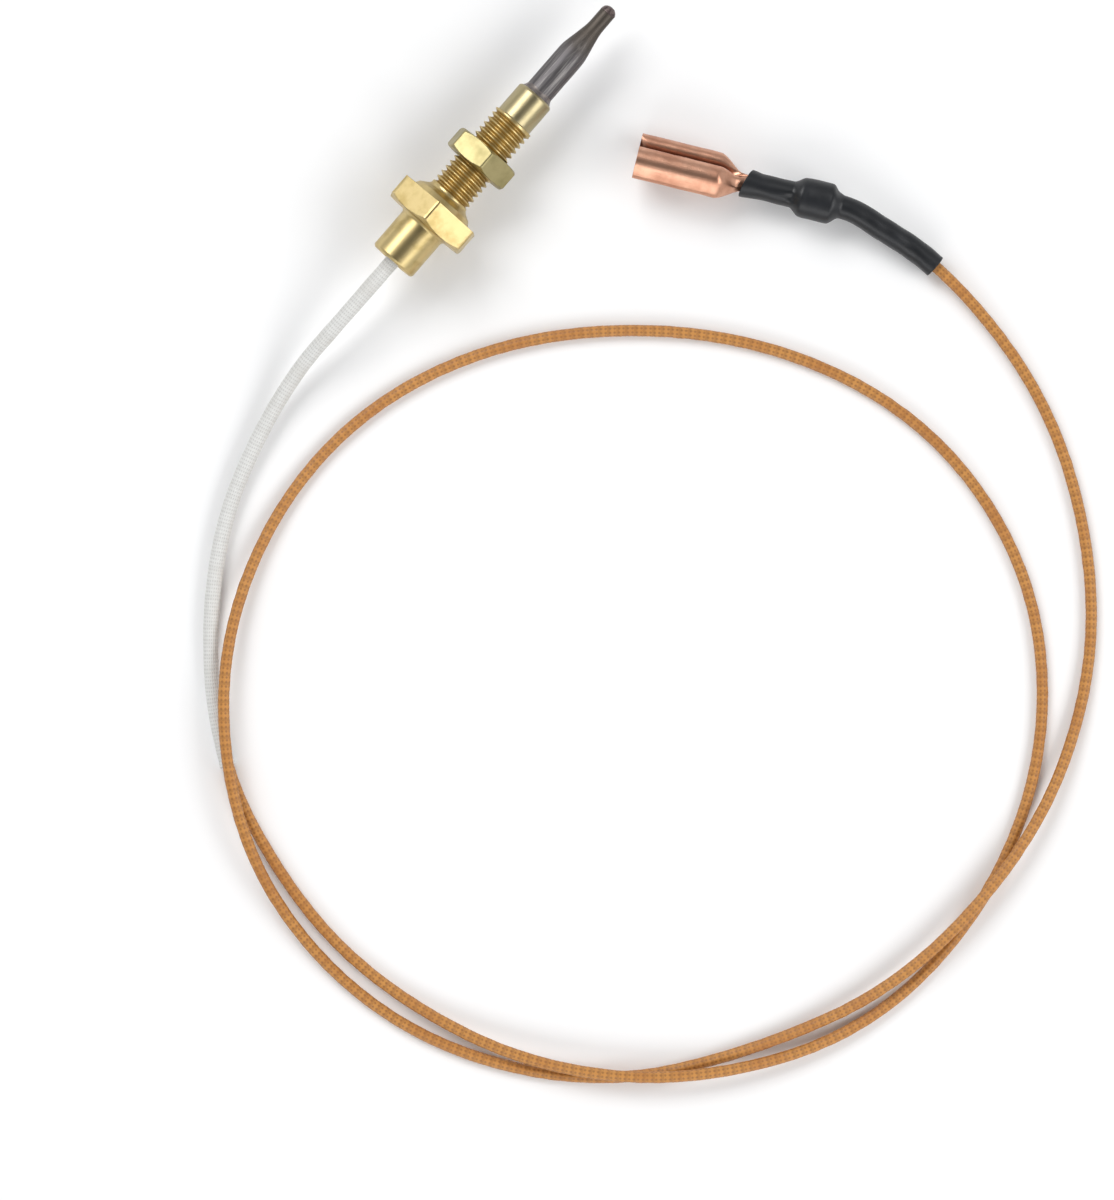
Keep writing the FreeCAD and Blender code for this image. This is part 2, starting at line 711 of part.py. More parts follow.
def socket_placement(sheet):
    """Local +x points out of the mouth, the crimp's axis is the route's last run, and it lies tilted."""
    points = route_points(sheet)
    mouth_ward = (points[-1] - points[-2]).normalize()
    heading = math.degrees(math.atan2(mouth_ward.y, mouth_ward.x))
    tilt = Rotation(Vector(1, 0, 0), value_of(sheet, "socket_tilt"))
    turn = Rotation(Vector(0, 0, 1), heading).multiply(tilt)
    crimp_end = Vector(-value_of(sheet, "barrel_start"), 0, value_of(sheet, "barrel_height"))
    return Placement(points[-1] - turn.multVec(crimp_end), turn)


def make_heat_shrink(doc, sheet):
    """The black heat-shrink tube: wide over the crimp, bulging over the grip, narrow on the lead."""
    edges, length = lead_route(sheet)
    wall = value_of(sheet, "shrink_wall")
    tail = value_of(sheet, "shrink_tail_radius")
    waist = value_of(sheet, "shrink_waist_radius")
    bulge = value_of(sheet, "shrink_bulge_radius")
    mouth = waist + value_of(sheet, "shrink_mouth_flare")
    mouth_end = value_of(sheet, "shrink_mouth_length")
    slope = value_of(sheet, "shrink_slope_length")
    lead_hole = value_of(sheet, "lead_diameter") / 2 + value_of(sheet, "fit_gap")
    grip_start = value_of(sheet, "grip_start")
    grip_end = grip_start + value_of(sheet, "grip_length")
    skin_end = grip_end + slope + value_of(sheet, "shrink_tail_lap")
    clear = value_of(sheet, "cut_clear")
    bulge_rise = grip_start - slope
    outside = [(0.0, mouth), (mouth_end, waist), (bulge_rise, waist), (grip_start, bulge),
               (grip_end, bulge), (grip_end + slope, tail), (skin_end, tail)]
    inside = [(-clear, mouth - wall), (mouth_end, waist - wall), (bulge_rise, waist - wall),
              (grip_start, bulge - wall), (grip_end, bulge - wall), (grip_end + slope, lead_hole)]
    skin = revolved(outside)
    hollow = revolved(inside)
    lift = Placement(Vector(0, 0, value_of(sheet, "barrel_height")), Rotation())
    place = socket_placement(sheet).multiply(lift)
    skin.Placement = place
    hollow.Placement = place
    far = length + value_of(sheet, "barrel_start") - value_of(sheet, "shrink_length")
    near = length + value_of(sheet, "barrel_start") - grip_end
    tail_tube = tube_along(stretch(edges, far, near), tail)
    bore = tube_along(stretch(edges, far - clear, near + clear), lead_hole)
    return feature(doc, "heat_shrink_tube", skin.fuse(tail_tube).cut(hollow).cut(bore))


def revolved(profile):
    """A solid turned about the local x axis: (distance along -x, radius) down one side."""
    points = [Vector(-profile[0][0], 0, 0)]
    points += [Vector(-along, radius, 0) for along, radius in profile]
    points += [Vector(-profile[-1][0], 0, 0)]
    face = Part.Face(Part.makePolygon(points + points[:1]))
    return face.revolve(Vector(), Vector(1, 0, 0), 360)


def check(doc, pieces):
    """Stops before anything is written if an object failed or a piece has no sound solid."""
    for item in doc.Objects:
        if "Invalid" in item.State or "Error" in item.State:
            raise RuntimeError("%s failed: %s" % (item.Label, item.State))
    for piece in pieces:
        shape = piece.Shape
        if shape.isNull() or not shape.isValid() or len(shape.Solids) != 1:
            raise RuntimeError("%s: no single sound solid (%d solids)" % (piece.Label, len(shape.Solids)))


def main():
    """Builds the document and writes one STEP file for each piece."""
    doc = FreeCAD.newDocument("thermocouple")
    sheet = make_sheet(doc)
    pieces = [make_threaded_body(doc, sheet), make_locknut(doc, sheet)]
    pieces += make_probe(doc, sheet)
    pieces += make_splice(doc, sheet)
    pieces += make_lead(doc, sheet)
    pieces += [make_receptacle(doc, sheet), make_heat_shrink(doc, sheet)]
    doc.recompute()
    check(doc, pieces)
    os.makedirs("parts", exist_ok=True)
    for piece in pieces:
        piece.Shape.exportStep("parts/%s.step" % piece.Label)
        print("%-20s volume %8.2f mm3" % (piece.Label, piece.Shape.Volume))


main()
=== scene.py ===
"""A gas hob thermocouple lying on a pale table: its looks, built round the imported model."""
import logging
import math
from dataclasses import dataclass
from enum import Enum

import bpy
import numpy as np
from mathutils import Matrix, Vector


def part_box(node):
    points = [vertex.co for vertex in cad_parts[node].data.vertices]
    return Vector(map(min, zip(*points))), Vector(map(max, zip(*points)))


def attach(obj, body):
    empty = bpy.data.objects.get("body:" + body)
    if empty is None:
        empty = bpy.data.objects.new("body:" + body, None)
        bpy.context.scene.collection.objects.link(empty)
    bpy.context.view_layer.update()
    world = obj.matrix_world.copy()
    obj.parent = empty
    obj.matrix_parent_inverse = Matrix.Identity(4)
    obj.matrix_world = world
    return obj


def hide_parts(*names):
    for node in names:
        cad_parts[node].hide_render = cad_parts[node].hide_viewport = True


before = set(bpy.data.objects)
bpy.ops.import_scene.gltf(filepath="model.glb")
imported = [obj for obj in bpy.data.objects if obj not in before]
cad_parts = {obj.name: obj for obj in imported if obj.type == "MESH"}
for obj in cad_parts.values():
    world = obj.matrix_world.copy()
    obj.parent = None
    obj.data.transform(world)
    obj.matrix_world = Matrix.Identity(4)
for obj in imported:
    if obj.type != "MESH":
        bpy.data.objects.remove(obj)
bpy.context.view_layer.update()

LOG = logging.getLogger("thermocouple")

# Sizes in this file are millimetres, and a mesh is scaled to metres when it is made.
MM = 0.001
FULL_TURN = 2 * math.pi
ROOT = "root"
NUT = "nut"


class Slot(Enum):
    """The names of the record's material slots."""

    BODY_BRASS = "body_brass"
    NUT_BRASS = "nut_brass"
    TINTED_STEEL = "tinted_steel"
    WELD_BEAD = "weld_bead"
    SILVER_BRAZE = "silver_braze"
    CEMENT = "cement"
    CONDUCTOR = "conductor"
    AMBER_BRAID = "amber_braid"
    WHITE_BRAID = "white_braid"
    BARE_COPPER = "bare_copper"
    HEAT_SHRINK = "heat_shrink"


# ---------------------------------------------------------------- shader maths


class Value:
    """A shader socket that takes part in arithmetic: each operator adds one Math node."""

    def __init__(self, graph: "Graph", socket: bpy.types.NodeSocket) -> None:
        """Wraps a socket of a graph."""
        self.graph = graph
        self.socket = socket

    def _with(self, operation: str, *others: "Value | float") -> "Value":
        """A Math node on this socket and others."""
        inputs = {0: self} | {index + 1: other for index, other in enumerate(others)}
        return self.graph.node("ShaderNodeMath", {"operation": operation}, inputs)

    def __add__(self, other: "Value | float") -> "Value":
        """This plus another."""
        return self._with("ADD", other)

    __radd__ = __add__

    def __mul__(self, other: "Value | float") -> "Value":
        """This times another."""
        return self._with("MULTIPLY", other)

    __rmul__ = __mul__

    def __sub__(self, other: "Value | float") -> "Value":
        """This less another."""
        return self._with("SUBTRACT", other)

    def __rsub__(self, other: "Value | float") -> "Value":
        """Another less this."""
        return self._with("MULTIPLY", -1.0)._with("ADD", other)

    def __pow__(self, power: float) -> "Value":
        """This raised to a power."""
        return self._with("POWER", power)

    def sine(self) -> "Value":
        """The sine of this, in radians."""
        return self._with("SINE")

    def step(self, low: float, high: float) -> "Value":
        """0 below low and 1 above high, with a smooth rise between.

        Args:
            low: where the rise begins.
            high: where it ends; below low, the step falls instead.

        Returns:
            The step as a value.
        """
        settings = {"interpolation_type": "SMOOTHSTEP"}
        inputs = {"Value": self, "From Min": low, "From Max": high}
        return self.graph.node("ShaderNodeMapRange", settings, inputs)


class Graph:
    """The node tree of one material or of the world."""

    def __init__(self, owner: bpy.types.Material | bpy.types.World) -> None:
        """Starts a material or a world with an empty node tree."""
        self.owner = owner
        self.owner.use_nodes = True
        self.tree = self.owner.node_tree
        self.tree.nodes.clear()

    def node(
        self,
        kind: str,
        settings: dict[str, object] | None = None,
        inputs: dict[str | int, object] | None = None,
        output: str | int = 0,
    ) -> Value:
        """Adds a node of any type.

        Args:
            kind: the node's type name.
            settings: its properties, set before its sockets.
            inputs: a number, colour or linked value for each socket, by name or index.
            output: the output socket that the result stands for.

        Returns:
            The chosen output as a value.
        """
        made = self.tree.nodes.new(kind)
        for key, setting in (settings or {}).items():
            setattr(made, key, setting)
        for key, given in (inputs or {}).items():
            socket = made.inputs[key]
            if isinstance(given, Value):
                self.tree.links.new(given.socket, socket)
            elif isinstance(given, tuple) and len(given) == 3 and socket.type == "RGBA":
                socket.default_value = (*given, 1.0)
            else:
                socket.default_value = given
        return Value(self, made.outputs[output])

    def place(self) -> Value:
        """The surface point in the part's frame, in metres."""
        return self.node("ShaderNodeTexCoord", output="Object")

    def scaled(self, point: Value, scale: tuple[float, float, float]) -> Value:
        """A point with each axis multiplied."""
        return self.node("ShaderNodeVectorMath", {"operation": "MULTIPLY"}, {0: point, 1: scale})

    def part(self, point: Value, axis: str) -> Value:
        """One axis of a point."""
        return self.node("ShaderNodeSeparateXYZ", inputs={0: point}, output=axis)

    def noise(self, point: Value, scale: float, detail: float = 3.0, roughness: float = 0.55) -> Value:
        """Cloudy noise from 0 to 1 at a point."""
        inputs = {"Vector": point, "Scale": scale, "Detail": detail, "Roughness": roughness}
        return self.node("ShaderNodeTexNoise", {"noise_dimensions": "3D"}, inputs)

    def blend(self, amount: Value | float, first: object, second: object) -> Value:
        """A colour from first, where amount is 0, to second, where it is 1."""
        settings = {"data_type": "RGBA", "clamp_factor": True}
        inputs = {0: amount, 6: first, 7: second}
        return self.node("ShaderNodeMix", settings, inputs, output=2)

    def bump(self, height: Value, depth: float, below: Value | None = None) -> Value:
        """A normal from a height of 0 to 1 that stands for a depth in metres."""
        inputs = {"Height": height, "Distance": depth, "Strength": 1.0}
        if below is not None:
            inputs["Normal"] = below
        return self.node("ShaderNodeBump", inputs=inputs)

    def finish(self, **sockets: object) -> bpy.types.Material:
        """Ends the material in one shader.

        Args:
            sockets: the shader's sockets, with _ for each space in a name.

        Returns:
            The material.
        """
        inputs = {key.replace("_", " "): given for key, given in sockets.items()}
        shader = self.node("ShaderNodeBsdfPrincipled", inputs=inputs)
        output = self.tree.nodes.new("ShaderNodeOutputMaterial")
        self.tree.links.new(shader.socket, output.inputs["Surface"])
        return self.owner


Colour = tuple[float, float, float]


# ---------------------------------------------------------------- finishes


@dataclass(frozen=True)
class TurnedBrass:
    """Turned brass: fine rings round the head's axis, dull patches, dark flecks and painted shade browning
    the thread's roots.
    """

    name: str
    bright: Colour
    dull: Colour
    fleck_and_root_shade: Colour
    pale_collar: Colour
    root_shade_start: float = 3.42
    root_shade_full: float = 3.0
    collar_start: float = 17.15
    thread_start: float = 1.2
    lathe_pitch: float = 0.11
    roughness: float = 0.24

    def material(self) -> bpy.types.Material:
        """Builds the finish.

        Returns:
            The material: the rings are noise stretched round the axis, so it varies mostly along X.
        """
        graph = Graph(bpy.data.materials.new(self.name))
        place = graph.place()
        along = graph.part(place, "X")
        across = graph.part(place, "Y")
        up = graph.part(place, "Z")
        radius = (across * across + up * up) ** 0.5
        rings = graph.noise(graph.scaled(place, (1 / (self.lathe_pitch * MM), 60.0, 60.0)), 1.0, 2.0, 0.6)
        patches = graph.noise(place, 420.0, 4.0)
        flecks = graph.noise(place, 5200.0, 2.0)
        colour = graph.blend(patches.step(0.42, 0.72), self.bright, self.dull)
        threaded = along.step(self.thread_start * MM, (self.thread_start + 0.4) * MM)
        threaded = threaded * along.step((self.collar_start + 0.2) * MM, self.collar_start * MM)
        # Painted shade: this mask browns the thread's roots, below its crests, where shade would fall.
        root = radius.step(self.root_shade_start * MM, self.root_shade_full * MM) * threaded
        colour = graph.blend(root * (0.55 + 0.45 * patches), colour, self.fleck_and_root_shade)
        collar = along.step(self.collar_start * MM, (self.collar_start + 0.3) * MM)
        colour = graph.blend(collar * 0.9, colour, self.pale_collar)
        # The same brown also marks small random dark flecks over the body.
        colour = graph.blend(flecks.step(0.66, 0.8) * 0.25, colour, self.fleck_and_root_shade)
        rough = self.roughness + 0.14 * patches + 0.10 * rings + 0.12 * root
        normal = graph.bump(rings, 0.010 * MM)
        normal = graph.bump(flecks, 0.004 * MM, normal)
        return graph.finish(Base_Color=colour, Metallic=1.0, Roughness=rough, Normal=normal)


@dataclass(frozen=True)
class NutBrass:
    """Satin brass of a nut: drawn lines along its flats, light tarnish."""

    name: str
    bright: Colour
    tarnish: Colour
    roughness: float = 0.3

    def material(self) -> bpy.types.Material:
        """Builds the finish; the drawn lines are noise stretched along X."""
        graph = Graph(bpy.data.materials.new(self.name))
        place = graph.place()
        drawn = graph.noise(graph.scaled(place, (150.0, 5200.0, 5200.0)), 1.0, 3.0)
        patches = graph.noise(place, 330.0, 4.0)
        colour = graph.blend(patches.step(0.35, 0.75), self.bright, self.tarnish)
        colour = graph.blend(drawn.step(0.6, 0.8) * 0.25, colour, self.tarnish)
        rough = self.roughness + 0.16 * patches + 0.08 * drawn
        normal = graph.bump(drawn, 0.006 * MM)
        return graph.finish(Base_Color=colour, Metallic=1.0, Roughness=rough, Normal=normal)


@dataclass(frozen=True)
class TintedSteel:
    """Heat-tinted steel sheath: grey-violet stem, browner cone and tip, scratches along its length."""

    name: str
    stem: Colour
    scuff: Colour
    tip: Colour
    tip_start: float = 29.5
    tip_full: float = 35.5
    roughness: float = 0.34

    def material(self) -> bpy.types.Material:
        """Builds the finish; the scratches are noise stretched along X."""
        graph = Graph(bpy.data.materials.new(self.name))
        place = graph.place()
        along = graph.part(place, "X")
        scratches = graph.noise(graph.scaled(place, (170.0, 4300.0, 4300.0)), 1.0, 5.0, 0.65)
        clouds = graph.noise(place, 260.0, 4.0)
        colour = graph.blend(scratches.step(0.45, 0.72), self.stem, self.scuff)
        tinted = (along + 0.004 * clouds).step((self.tip_start + 2) * MM, (self.tip_full + 2) * MM)
        colour = graph.blend(tinted * 0.85, colour, self.tip)
        rough = self.roughness + 0.2 * clouds + 0.12 * scratches
        normal = graph.bump(scratches, 0.012 * MM)
        return graph.finish(Base_Color=colour, Metallic=0.85, Roughness=rough, Normal=normal)


@dataclass(frozen=True)
class MottledMetal:
    """Rough cast, brazed or drawn metal in two mottled colours."""

    name: str
    light: Colour
    dark: Colour
    metallic: float = 0.9
    roughness: float = 0.45
    grain: float = 1500.0
    relief: float = 0.03

    def material(self) -> bpy.types.Material:
        """Builds the finish: two colours mixed by cloudy noise, which also lifts the surface."""
        graph = Graph(bpy.data.materials.new(self.name))
        place = graph.place()
        mottle = graph.noise(place, self.grain, 5.0, 0.6)
        colour = graph.blend(mottle.step(0.35, 0.65), self.light, self.dark)
        rough = self.roughness + 0.3 * (mottle - 0.5)
        normal = graph.bump(mottle, self.relief * MM)
        return graph.finish(Base_Color=colour, Metallic=self.metallic, Roughness=rough, Normal=normal)


@dataclass(frozen=True)
class Mineral:
    """Fired ceramic, mica or cement: matt, faintly speckled and slightly rough."""

    name: str
    base: Colour
    speck: Colour
    grain: float = 2400.0
    relief: float = 0.02
    roughness: float = 0.8

    def material(self) -> bpy.types.Material:
        """Builds the finish: specks where fine noise is high, over cloudy shade."""
        graph = Graph(bpy.data.materials.new(self.name))
        place = graph.place()
        fine = graph.noise(place, self.grain, 4.0, 0.65)
        clouds = graph.noise(place, self.grain / 6, 3.0)
        colour = graph.blend(fine.step(0.58, 0.72) * 0.7 + clouds * 0.2, self.base, self.speck)
        normal = graph.bump(fine, self.relief * MM)
        rough = self.roughness + 0.15 * (clouds - 0.5)
        return graph.finish(Base_Color=colour, Metallic=0.0, Roughness=rough, Normal=normal)


@dataclass(frozen=True)
class Braid:
    """Braided glass fibre: crossing strands on the piece's own length map, and specks."""

    name: str
    strand: Colour
    gap_shade_and_speck: Colour
    stain: Colour
    pitch: float
    ends_round: int
    speck_pitch: float
    gap_shade_strength: float = 0.6
    speck_strength: float = 0.5
    stain_strength: float = 0.4
    roughness: float = 0.62
    sheen: float = 0.0
    coat: float = 0.0

    def material(self) -> bpy.types.Material:
        """Builds the finish.

        Returns:
            The material. Its length map holds the distance along in millimetres and the turn round.
            The strands are the product of two sines of along / pitch plus and minus turn times the
            ends round.
        """
        graph = Graph(bpy.data.materials.new(self.name))
        length_map = graph.node("ShaderNodeUVMap", {"uv_map": "Length"})
        along = graph.part(length_map, "X")
        turn = graph.part(length_map, "Y")
        place = graph.place()
        wander = graph.noise(place, 500.0, 3.0)
        fuzz = graph.noise(graph.scaled(length_map, (2.2, 40.0, 1.0)), 3.0, 4.0, 0.7)
        steps = along * (FULL_TURN / self.pitch) + wander * 1.2
        rise = (steps + turn * (FULL_TURN * self.ends_round)).sine()
        fall = (steps - turn * (FULL_TURN * self.ends_round)).sine()
        weave = 0.5 + 0.5 * rise * fall
        speck = (along * (FULL_TURN / self.speck_pitch) + wander * 2.0).sine() * 0.5 + 0.5
        speck = speck.step(0.55, 1.0) * fuzz.step(0.3, 0.6)
        patches = graph.noise(place, 140.0, 4.0)
        # Painted shade: the gaps between the crossing strands are darkened towards the gap colour.
        colour = graph.blend(weave.step(0.55, 0.05) * self.gap_shade_strength, self.strand, self.gap_shade_and_speck)
        # The same dark colour marks the specks, a real pattern in the braid.
        colour = graph.blend(speck * self.speck_strength, colour, self.gap_shade_and_speck)
        colour = graph.blend(patches.step(0.42, 0.7) * self.stain_strength, colour, self.stain)
        colour = graph.blend(fuzz.step(0.35, 0.75) * 0.22, colour, self.strand)
        normal = graph.bump(weave, 0.05 * MM)
        normal = graph.bump(fuzz, 0.03 * MM, normal)
        rough = self.roughness + 0.18 * (fuzz - 0.5)
        return graph.finish(
            Base_Color=colour, Roughness=rough, Normal=normal, Coat_Weight=self.coat, Sheen_Weight=self.sheen
        )


@dataclass(frozen=True)
class BareCopper:
    """Bare copper strip: rosy metal with pressing scratches along the socket and darker tarnish."""

    name: str
    bright: Colour
    rosy: Colour
    tarnish: Colour
    heading: float
    roughness: float = 0.2

    def material(self) -> bpy.types.Material:
        """Builds the finish; the scratches are noise stretched along the socket's heading."""
        graph = Graph(bpy.data.materials.new(self.name))
        place = graph.place()
        settings = {"vector_type": "POINT"}
        inputs = {"Vector": place, "Rotation": (0.0, 0.0, -self.heading)}
        turned = graph.node("ShaderNodeMapping", settings, inputs)
        scratches = graph.noise(graph.scaled(turned, (260.0, 3800.0, 3800.0)), 1.0, 5.0, 0.7)
        cross = graph.noise(graph.scaled(turned, (3200.0, 420.0, 420.0)), 1.0, 4.0, 0.7)
        clouds = graph.noise(place, 300.0, 4.0)
        colour = graph.blend(clouds.step(0.35, 0.7), self.bright, self.rosy)
        colour = graph.blend(scratches.step(0.58, 0.8) * 0.5, colour, self.tarnish)
        colour = graph.blend(cross.step(0.6, 0.78) * 0.35, colour, self.tarnish)
        rough = self.roughness + 0.22 * clouds + 0.12 * scratches
        normal = graph.bump(scratches, 0.02 * MM)
        normal = graph.bump(cross, 0.02 * MM, normal)
        return graph.finish(Base_Color=colour, Metallic=1.0, Roughness=rough, Normal=normal)


@dataclass(frozen=True)
class ShrunkSleeving:
    """Black heat-shrunk tube: charcoal with a soft sheen, fine pits and faint dust."""

    name: str
    black: Colour
    dusty: Colour
    roughness: float = 0.42

    def material(self) -> bpy.types.Material:
        """Builds the finish: dust and dull patches follow cloudy noise, pits follow fine noise."""
        graph = Graph(bpy.data.materials.new(self.name))
        place = graph.place()
        clouds = graph.noise(place, 240.0, 4.0)
        pits = graph.noise(place, 3600.0, 3.0, 0.6)
        dust = clouds.step(0.4, 0.75) * 0.6 + pits.step(0.62, 0.75) * 0.3
        colour = graph.blend(dust, self.black, self.dusty)
        normal = graph.bump(pits, 0.012 * MM)
        rough = self.roughness + 0.2 * (clouds - 0.5)
        return graph.finish(Base_Color=colour, Roughness=rough, Normal=normal)


# ---------------------------------------------------------------- surfaces


def turns(columns: int, offset: float = 0.0) -> np.ndarray:
    """Evenly spaced angles round a full turn, from an offset in radians."""
    return offset + np.arange(columns) * (FULL_TURN / columns)


def smooth(values: np.ndarray, low: float, high: float) -> np.ndarray:
    """0 below low, 1 above high and 3t^2 - 2t^3 between, t being the share of the way."""
    share = np.clip((values - low) / (high - low), 0.0, 1.0)
    return share * share * (3.0 - 2.0 * share)


def waves(first: np.ndarray, second: np.ndarray, seed: int, count: int = 7) -> np.ndarray:
    """Smooth irregularity from -1 to 1: a mean of sines of first and whole multiples of second.

    Args:
        first: a length-like parameter, already scaled to radians.
        second: the angle round the piece, so that the surface closes.
        seed: which set of frequencies and phases is drawn.
        count: how many sines are averaged.

    Returns:
        The irregularity at each grid point.
    """
    source = np.random.default_rng(seed)
    rates = source.uniform(0.4, 2.6, count)
    lobes = source.integers(0, 6, count)
    phases = source.uniform(0.0, FULL_TURN, count)
    angles = first[..., None] * rates + second[..., None] * lobes + phases
    return np.sin(angles).mean(axis=-1)


def eased(corners: list[tuple[float, float]], ease: float, steps: int = 4) -> np.ndarray:
    """An open profile with each inner corner rounded.

    Each corner becomes the quadratic curve from a point `ease` before it to one `ease` after it, or
    nearer where a neighbouring run is short.

    Args:
        corners: (distance along the axis, radius) in order.
        ease: how far from a corner the rounding starts.
        steps: how many points make one rounding.

    Returns:
        The rounded profile, one row for each point.
    """
    points = np.array(corners, float)
    rows = [points[0]]
    share = np.linspace(0.0, 1.0, steps)[:, None]
    for before, corner, after in zip(points, points[1:], points[2:]):
        back, ahead = before - corner, after - corner
        reach_back = min(ease, 0.45 * np.linalg.norm(back)) / np.linalg.norm(back)
        reach_ahead = min(ease, 0.45 * np.linalg.norm(ahead)) / np.linalg.norm(ahead)
        start, end = corner + back * reach_back, corner + ahead * reach_ahead
        rows.extend((1 - share) ** 2 * start + 2 * share * (1 - share) * corner + share**2 * end)
    rows.append(points[-1])
    return np.array(rows)


def hexagon_reach(turn: np.ndarray, flats: float, crispness: float = 110.0) -> np.ndarray:
    """The distance from a hexagon's centre to its edge, with a corner at turn 0.

    It is half the flats divided by the largest of the six cosines to its sides. The largest is taken
    as a power mean, which rounds the corners slightly.
    """
    sides = np.cos(turn[:, None] - np.radians(30 + 60 * np.arange(6)))
    largest = (np.clip(sides, 0.0, None) ** crispness).sum(axis=1) ** (1 / crispness)
    return flats / 2 / largest


def around_axis(along: np.ndarray, radius: np.ndarray, turn: np.ndarray) -> np.ndarray:
    """Points round the X axis: (along, radius times sine of turn, radius times cosine of turn)."""
    along, radius = np.broadcast_arrays(along, radius)
    return np.stack([along, radius * np.sin(turn), radius * np.cos(turn)], axis=-1)


def rows_of(profile: np.ndarray, columns: int) -> tuple[np.ndarray, np.ndarray]:
    """A round profile as grids: the distance along and the radius of each ring, for every column."""
    along = np.repeat(profile[:, :1], columns, axis=1)
    radius = np.repeat(profile[:, 1:2], columns, axis=1)
    return along, radius


def signed_volume(points: np.ndarray, quads: np.ndarray, triangles: np.ndarray) -> float:
    """Six times the enclosed volume: the sum of the triple products of all triangles."""
    halves = np.concatenate([quads[:, [0, 1, 2]], quads[:, [0, 2, 3]], triangles])
    first, second, third = (points[halves[:, corner]] for corner in range(3))
    return float(np.einsum("ij,ij->", first, np.cross(second, third)))


def skin(name: str, grid: np.ndarray, loop: bool, along: np.ndarray | None = None) -> bpy.types.Object:
    """A closed mesh over a grid of rings.

    Args:
        name: the piece's name.
        grid: points in millimetres, rings by columns by 3; the columns go round.
        loop: True where the last ring joins the first, so the piece is a wall with an inside; False
            where each end ring is closed by a fan to its centre.
        along: the distance of each ring along the piece, for a length map.

    Returns:
        The object, linked to the scene, at the origin.
    """
    rings, columns = grid.shape[:2]
    points = grid.reshape(-1, 3)
    ring = np.arange(rings if loop else rings - 1)[:, None]
    column = np.arange(columns)[None, :]
    after, beside = (ring + 1) % rings, (column + 1) % columns
    quads = np.stack(
        [
            ring * columns + column,
            ring * columns + beside,
            after * columns + beside,
            after * columns + column,
        ],
        axis=-1,
    ).reshape(-1, 4)
    triangles = np.zeros((0, 3), int)
    if not loop:
        points = np.concatenate([points, grid[:1].mean(axis=1), grid[-1:].mean(axis=1)])
        first = np.arange(columns)
        last = (rings - 1) * columns + first
        near = np.stack([np.roll(first, -1), first, np.full(columns, rings * columns)], axis=-1)
        far = np.stack([last, np.roll(last, -1), np.full(columns, rings * columns + 1)], axis=-1)
        triangles = np.concatenate([near, far])
    inside_out = signed_volume(points, quads, triangles) < 0
    if inside_out:
        quads, triangles = quads[:, ::-1], triangles[:, ::-1]
    mesh = bpy.data.meshes.new(name)
    mesh.from_pydata((points * MM).tolist(), [], quads.tolist() + triangles.tolist())
    if along is not None:
        lengths = np.stack(np.broadcast_arrays(along[ring], along[ring], along[after], along[after]), axis=-1)
        share = column / columns
        sides = np.stack([share, share + 1 / columns, share + 1 / columns, share], axis=-1)
        pairs = np.stack(np.broadcast_arrays(lengths.reshape(-1, 1, 4), sides), axis=-1)
        pairs = pairs.reshape(-1, 4, 2)[:, ::-1] if inside_out else pairs.reshape(-1, 4, 2)
        ends = np.zeros((len(triangles) * 3, 2))
        layer = mesh.uv_layers.new(name="Length")
        layer.data.foreach_set("uv", np.concatenate([pairs.reshape(-1, 2), ends]).astype(np.float32).ravel())
    mesh.shade_smooth()
    mesh.update()
    piece = bpy.data.objects.new(name, mesh)
    bpy.context.scene.collection.objects.link(piece)
    return piece


def dress(
    piece: bpy.types.Object, body: str, material: bpy.types.Material, nodes: tuple[str, ...]
) -> bpy.types.Object:
    """Gives a piece its body, its material and the CAD nodes that it stands for."""
    piece.data.materials.append(material)
    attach(piece, body)
    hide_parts(*nodes)
    LOG.info("%s: %d faces on %s", piece.name, len(piece.data.polygons), body)
    return piece


# ---------------------------------------------------------------- the route


# The height of the table, and of the crimp's axis above it.
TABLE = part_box("threaded_body")[0].z / MM
CRIMP_RISE = 4.274
LEAD_RADIUS = 0.9

# The lead's route: x, y and the height of its centre above the table, with -TABLE for the head's axis
# and CRIMP_RISE for the crimp's axis. One point more than the solid's stands on the straight run into the
# crimp.
ROUTE = [
    (-3.5, 0.0, -TABLE),
    (-19.0, 0.0, -TABLE),
    (-38.5, 0.5, 2.1),
    (-64.0, -7.5, 1.2),
    (-87.5, -28.5, 1.2),
    (-97.0, -54.0, 1.2),
    (-98.0, -75.0, 0.9),
    (-92.0, -98.5, 3.1),
    (-77.5, -119.0, 3.1),
    (-54.0, -134.5, 0.9),
    (-26.5, -136.0, 0.9),
    (-1.0, -126.5, 0.9),
    (18.0, -106.5, 0.9),
    (25.0, -78.5, 0.9),
    (17.0, -49.5, 0.9),
    (-3.0, -25.0, 0.9),
    (-27.0, -12.0, 0.9),
    (-52.0, -10.5, 0.9),
    (-76.5, -20.0, 3.8),
    (-95.0, -40.0, 3.8),
    (-102.0, -63.0, 0.9),
    (-99.5, -86.5, 0.9),
    (-87.0, -109.0, 0.9),
    (-67.0, -123.5, 0.9),
    (-43.5, -134.0, 3.1),
    (-14.0, -134.5, 3.1),
    (9.5, -126.0, 0.9),
    (26.5, -111.5, 0.9),
    (39.5, -91.0, 0.9),
    (44.5, -66.5, 1.6),
    (41.65, -48.57, CRIMP_RISE),
    (39.29, -43.95, CRIMP_RISE),
    (34.37, -34.33, CRIMP_RISE),
]


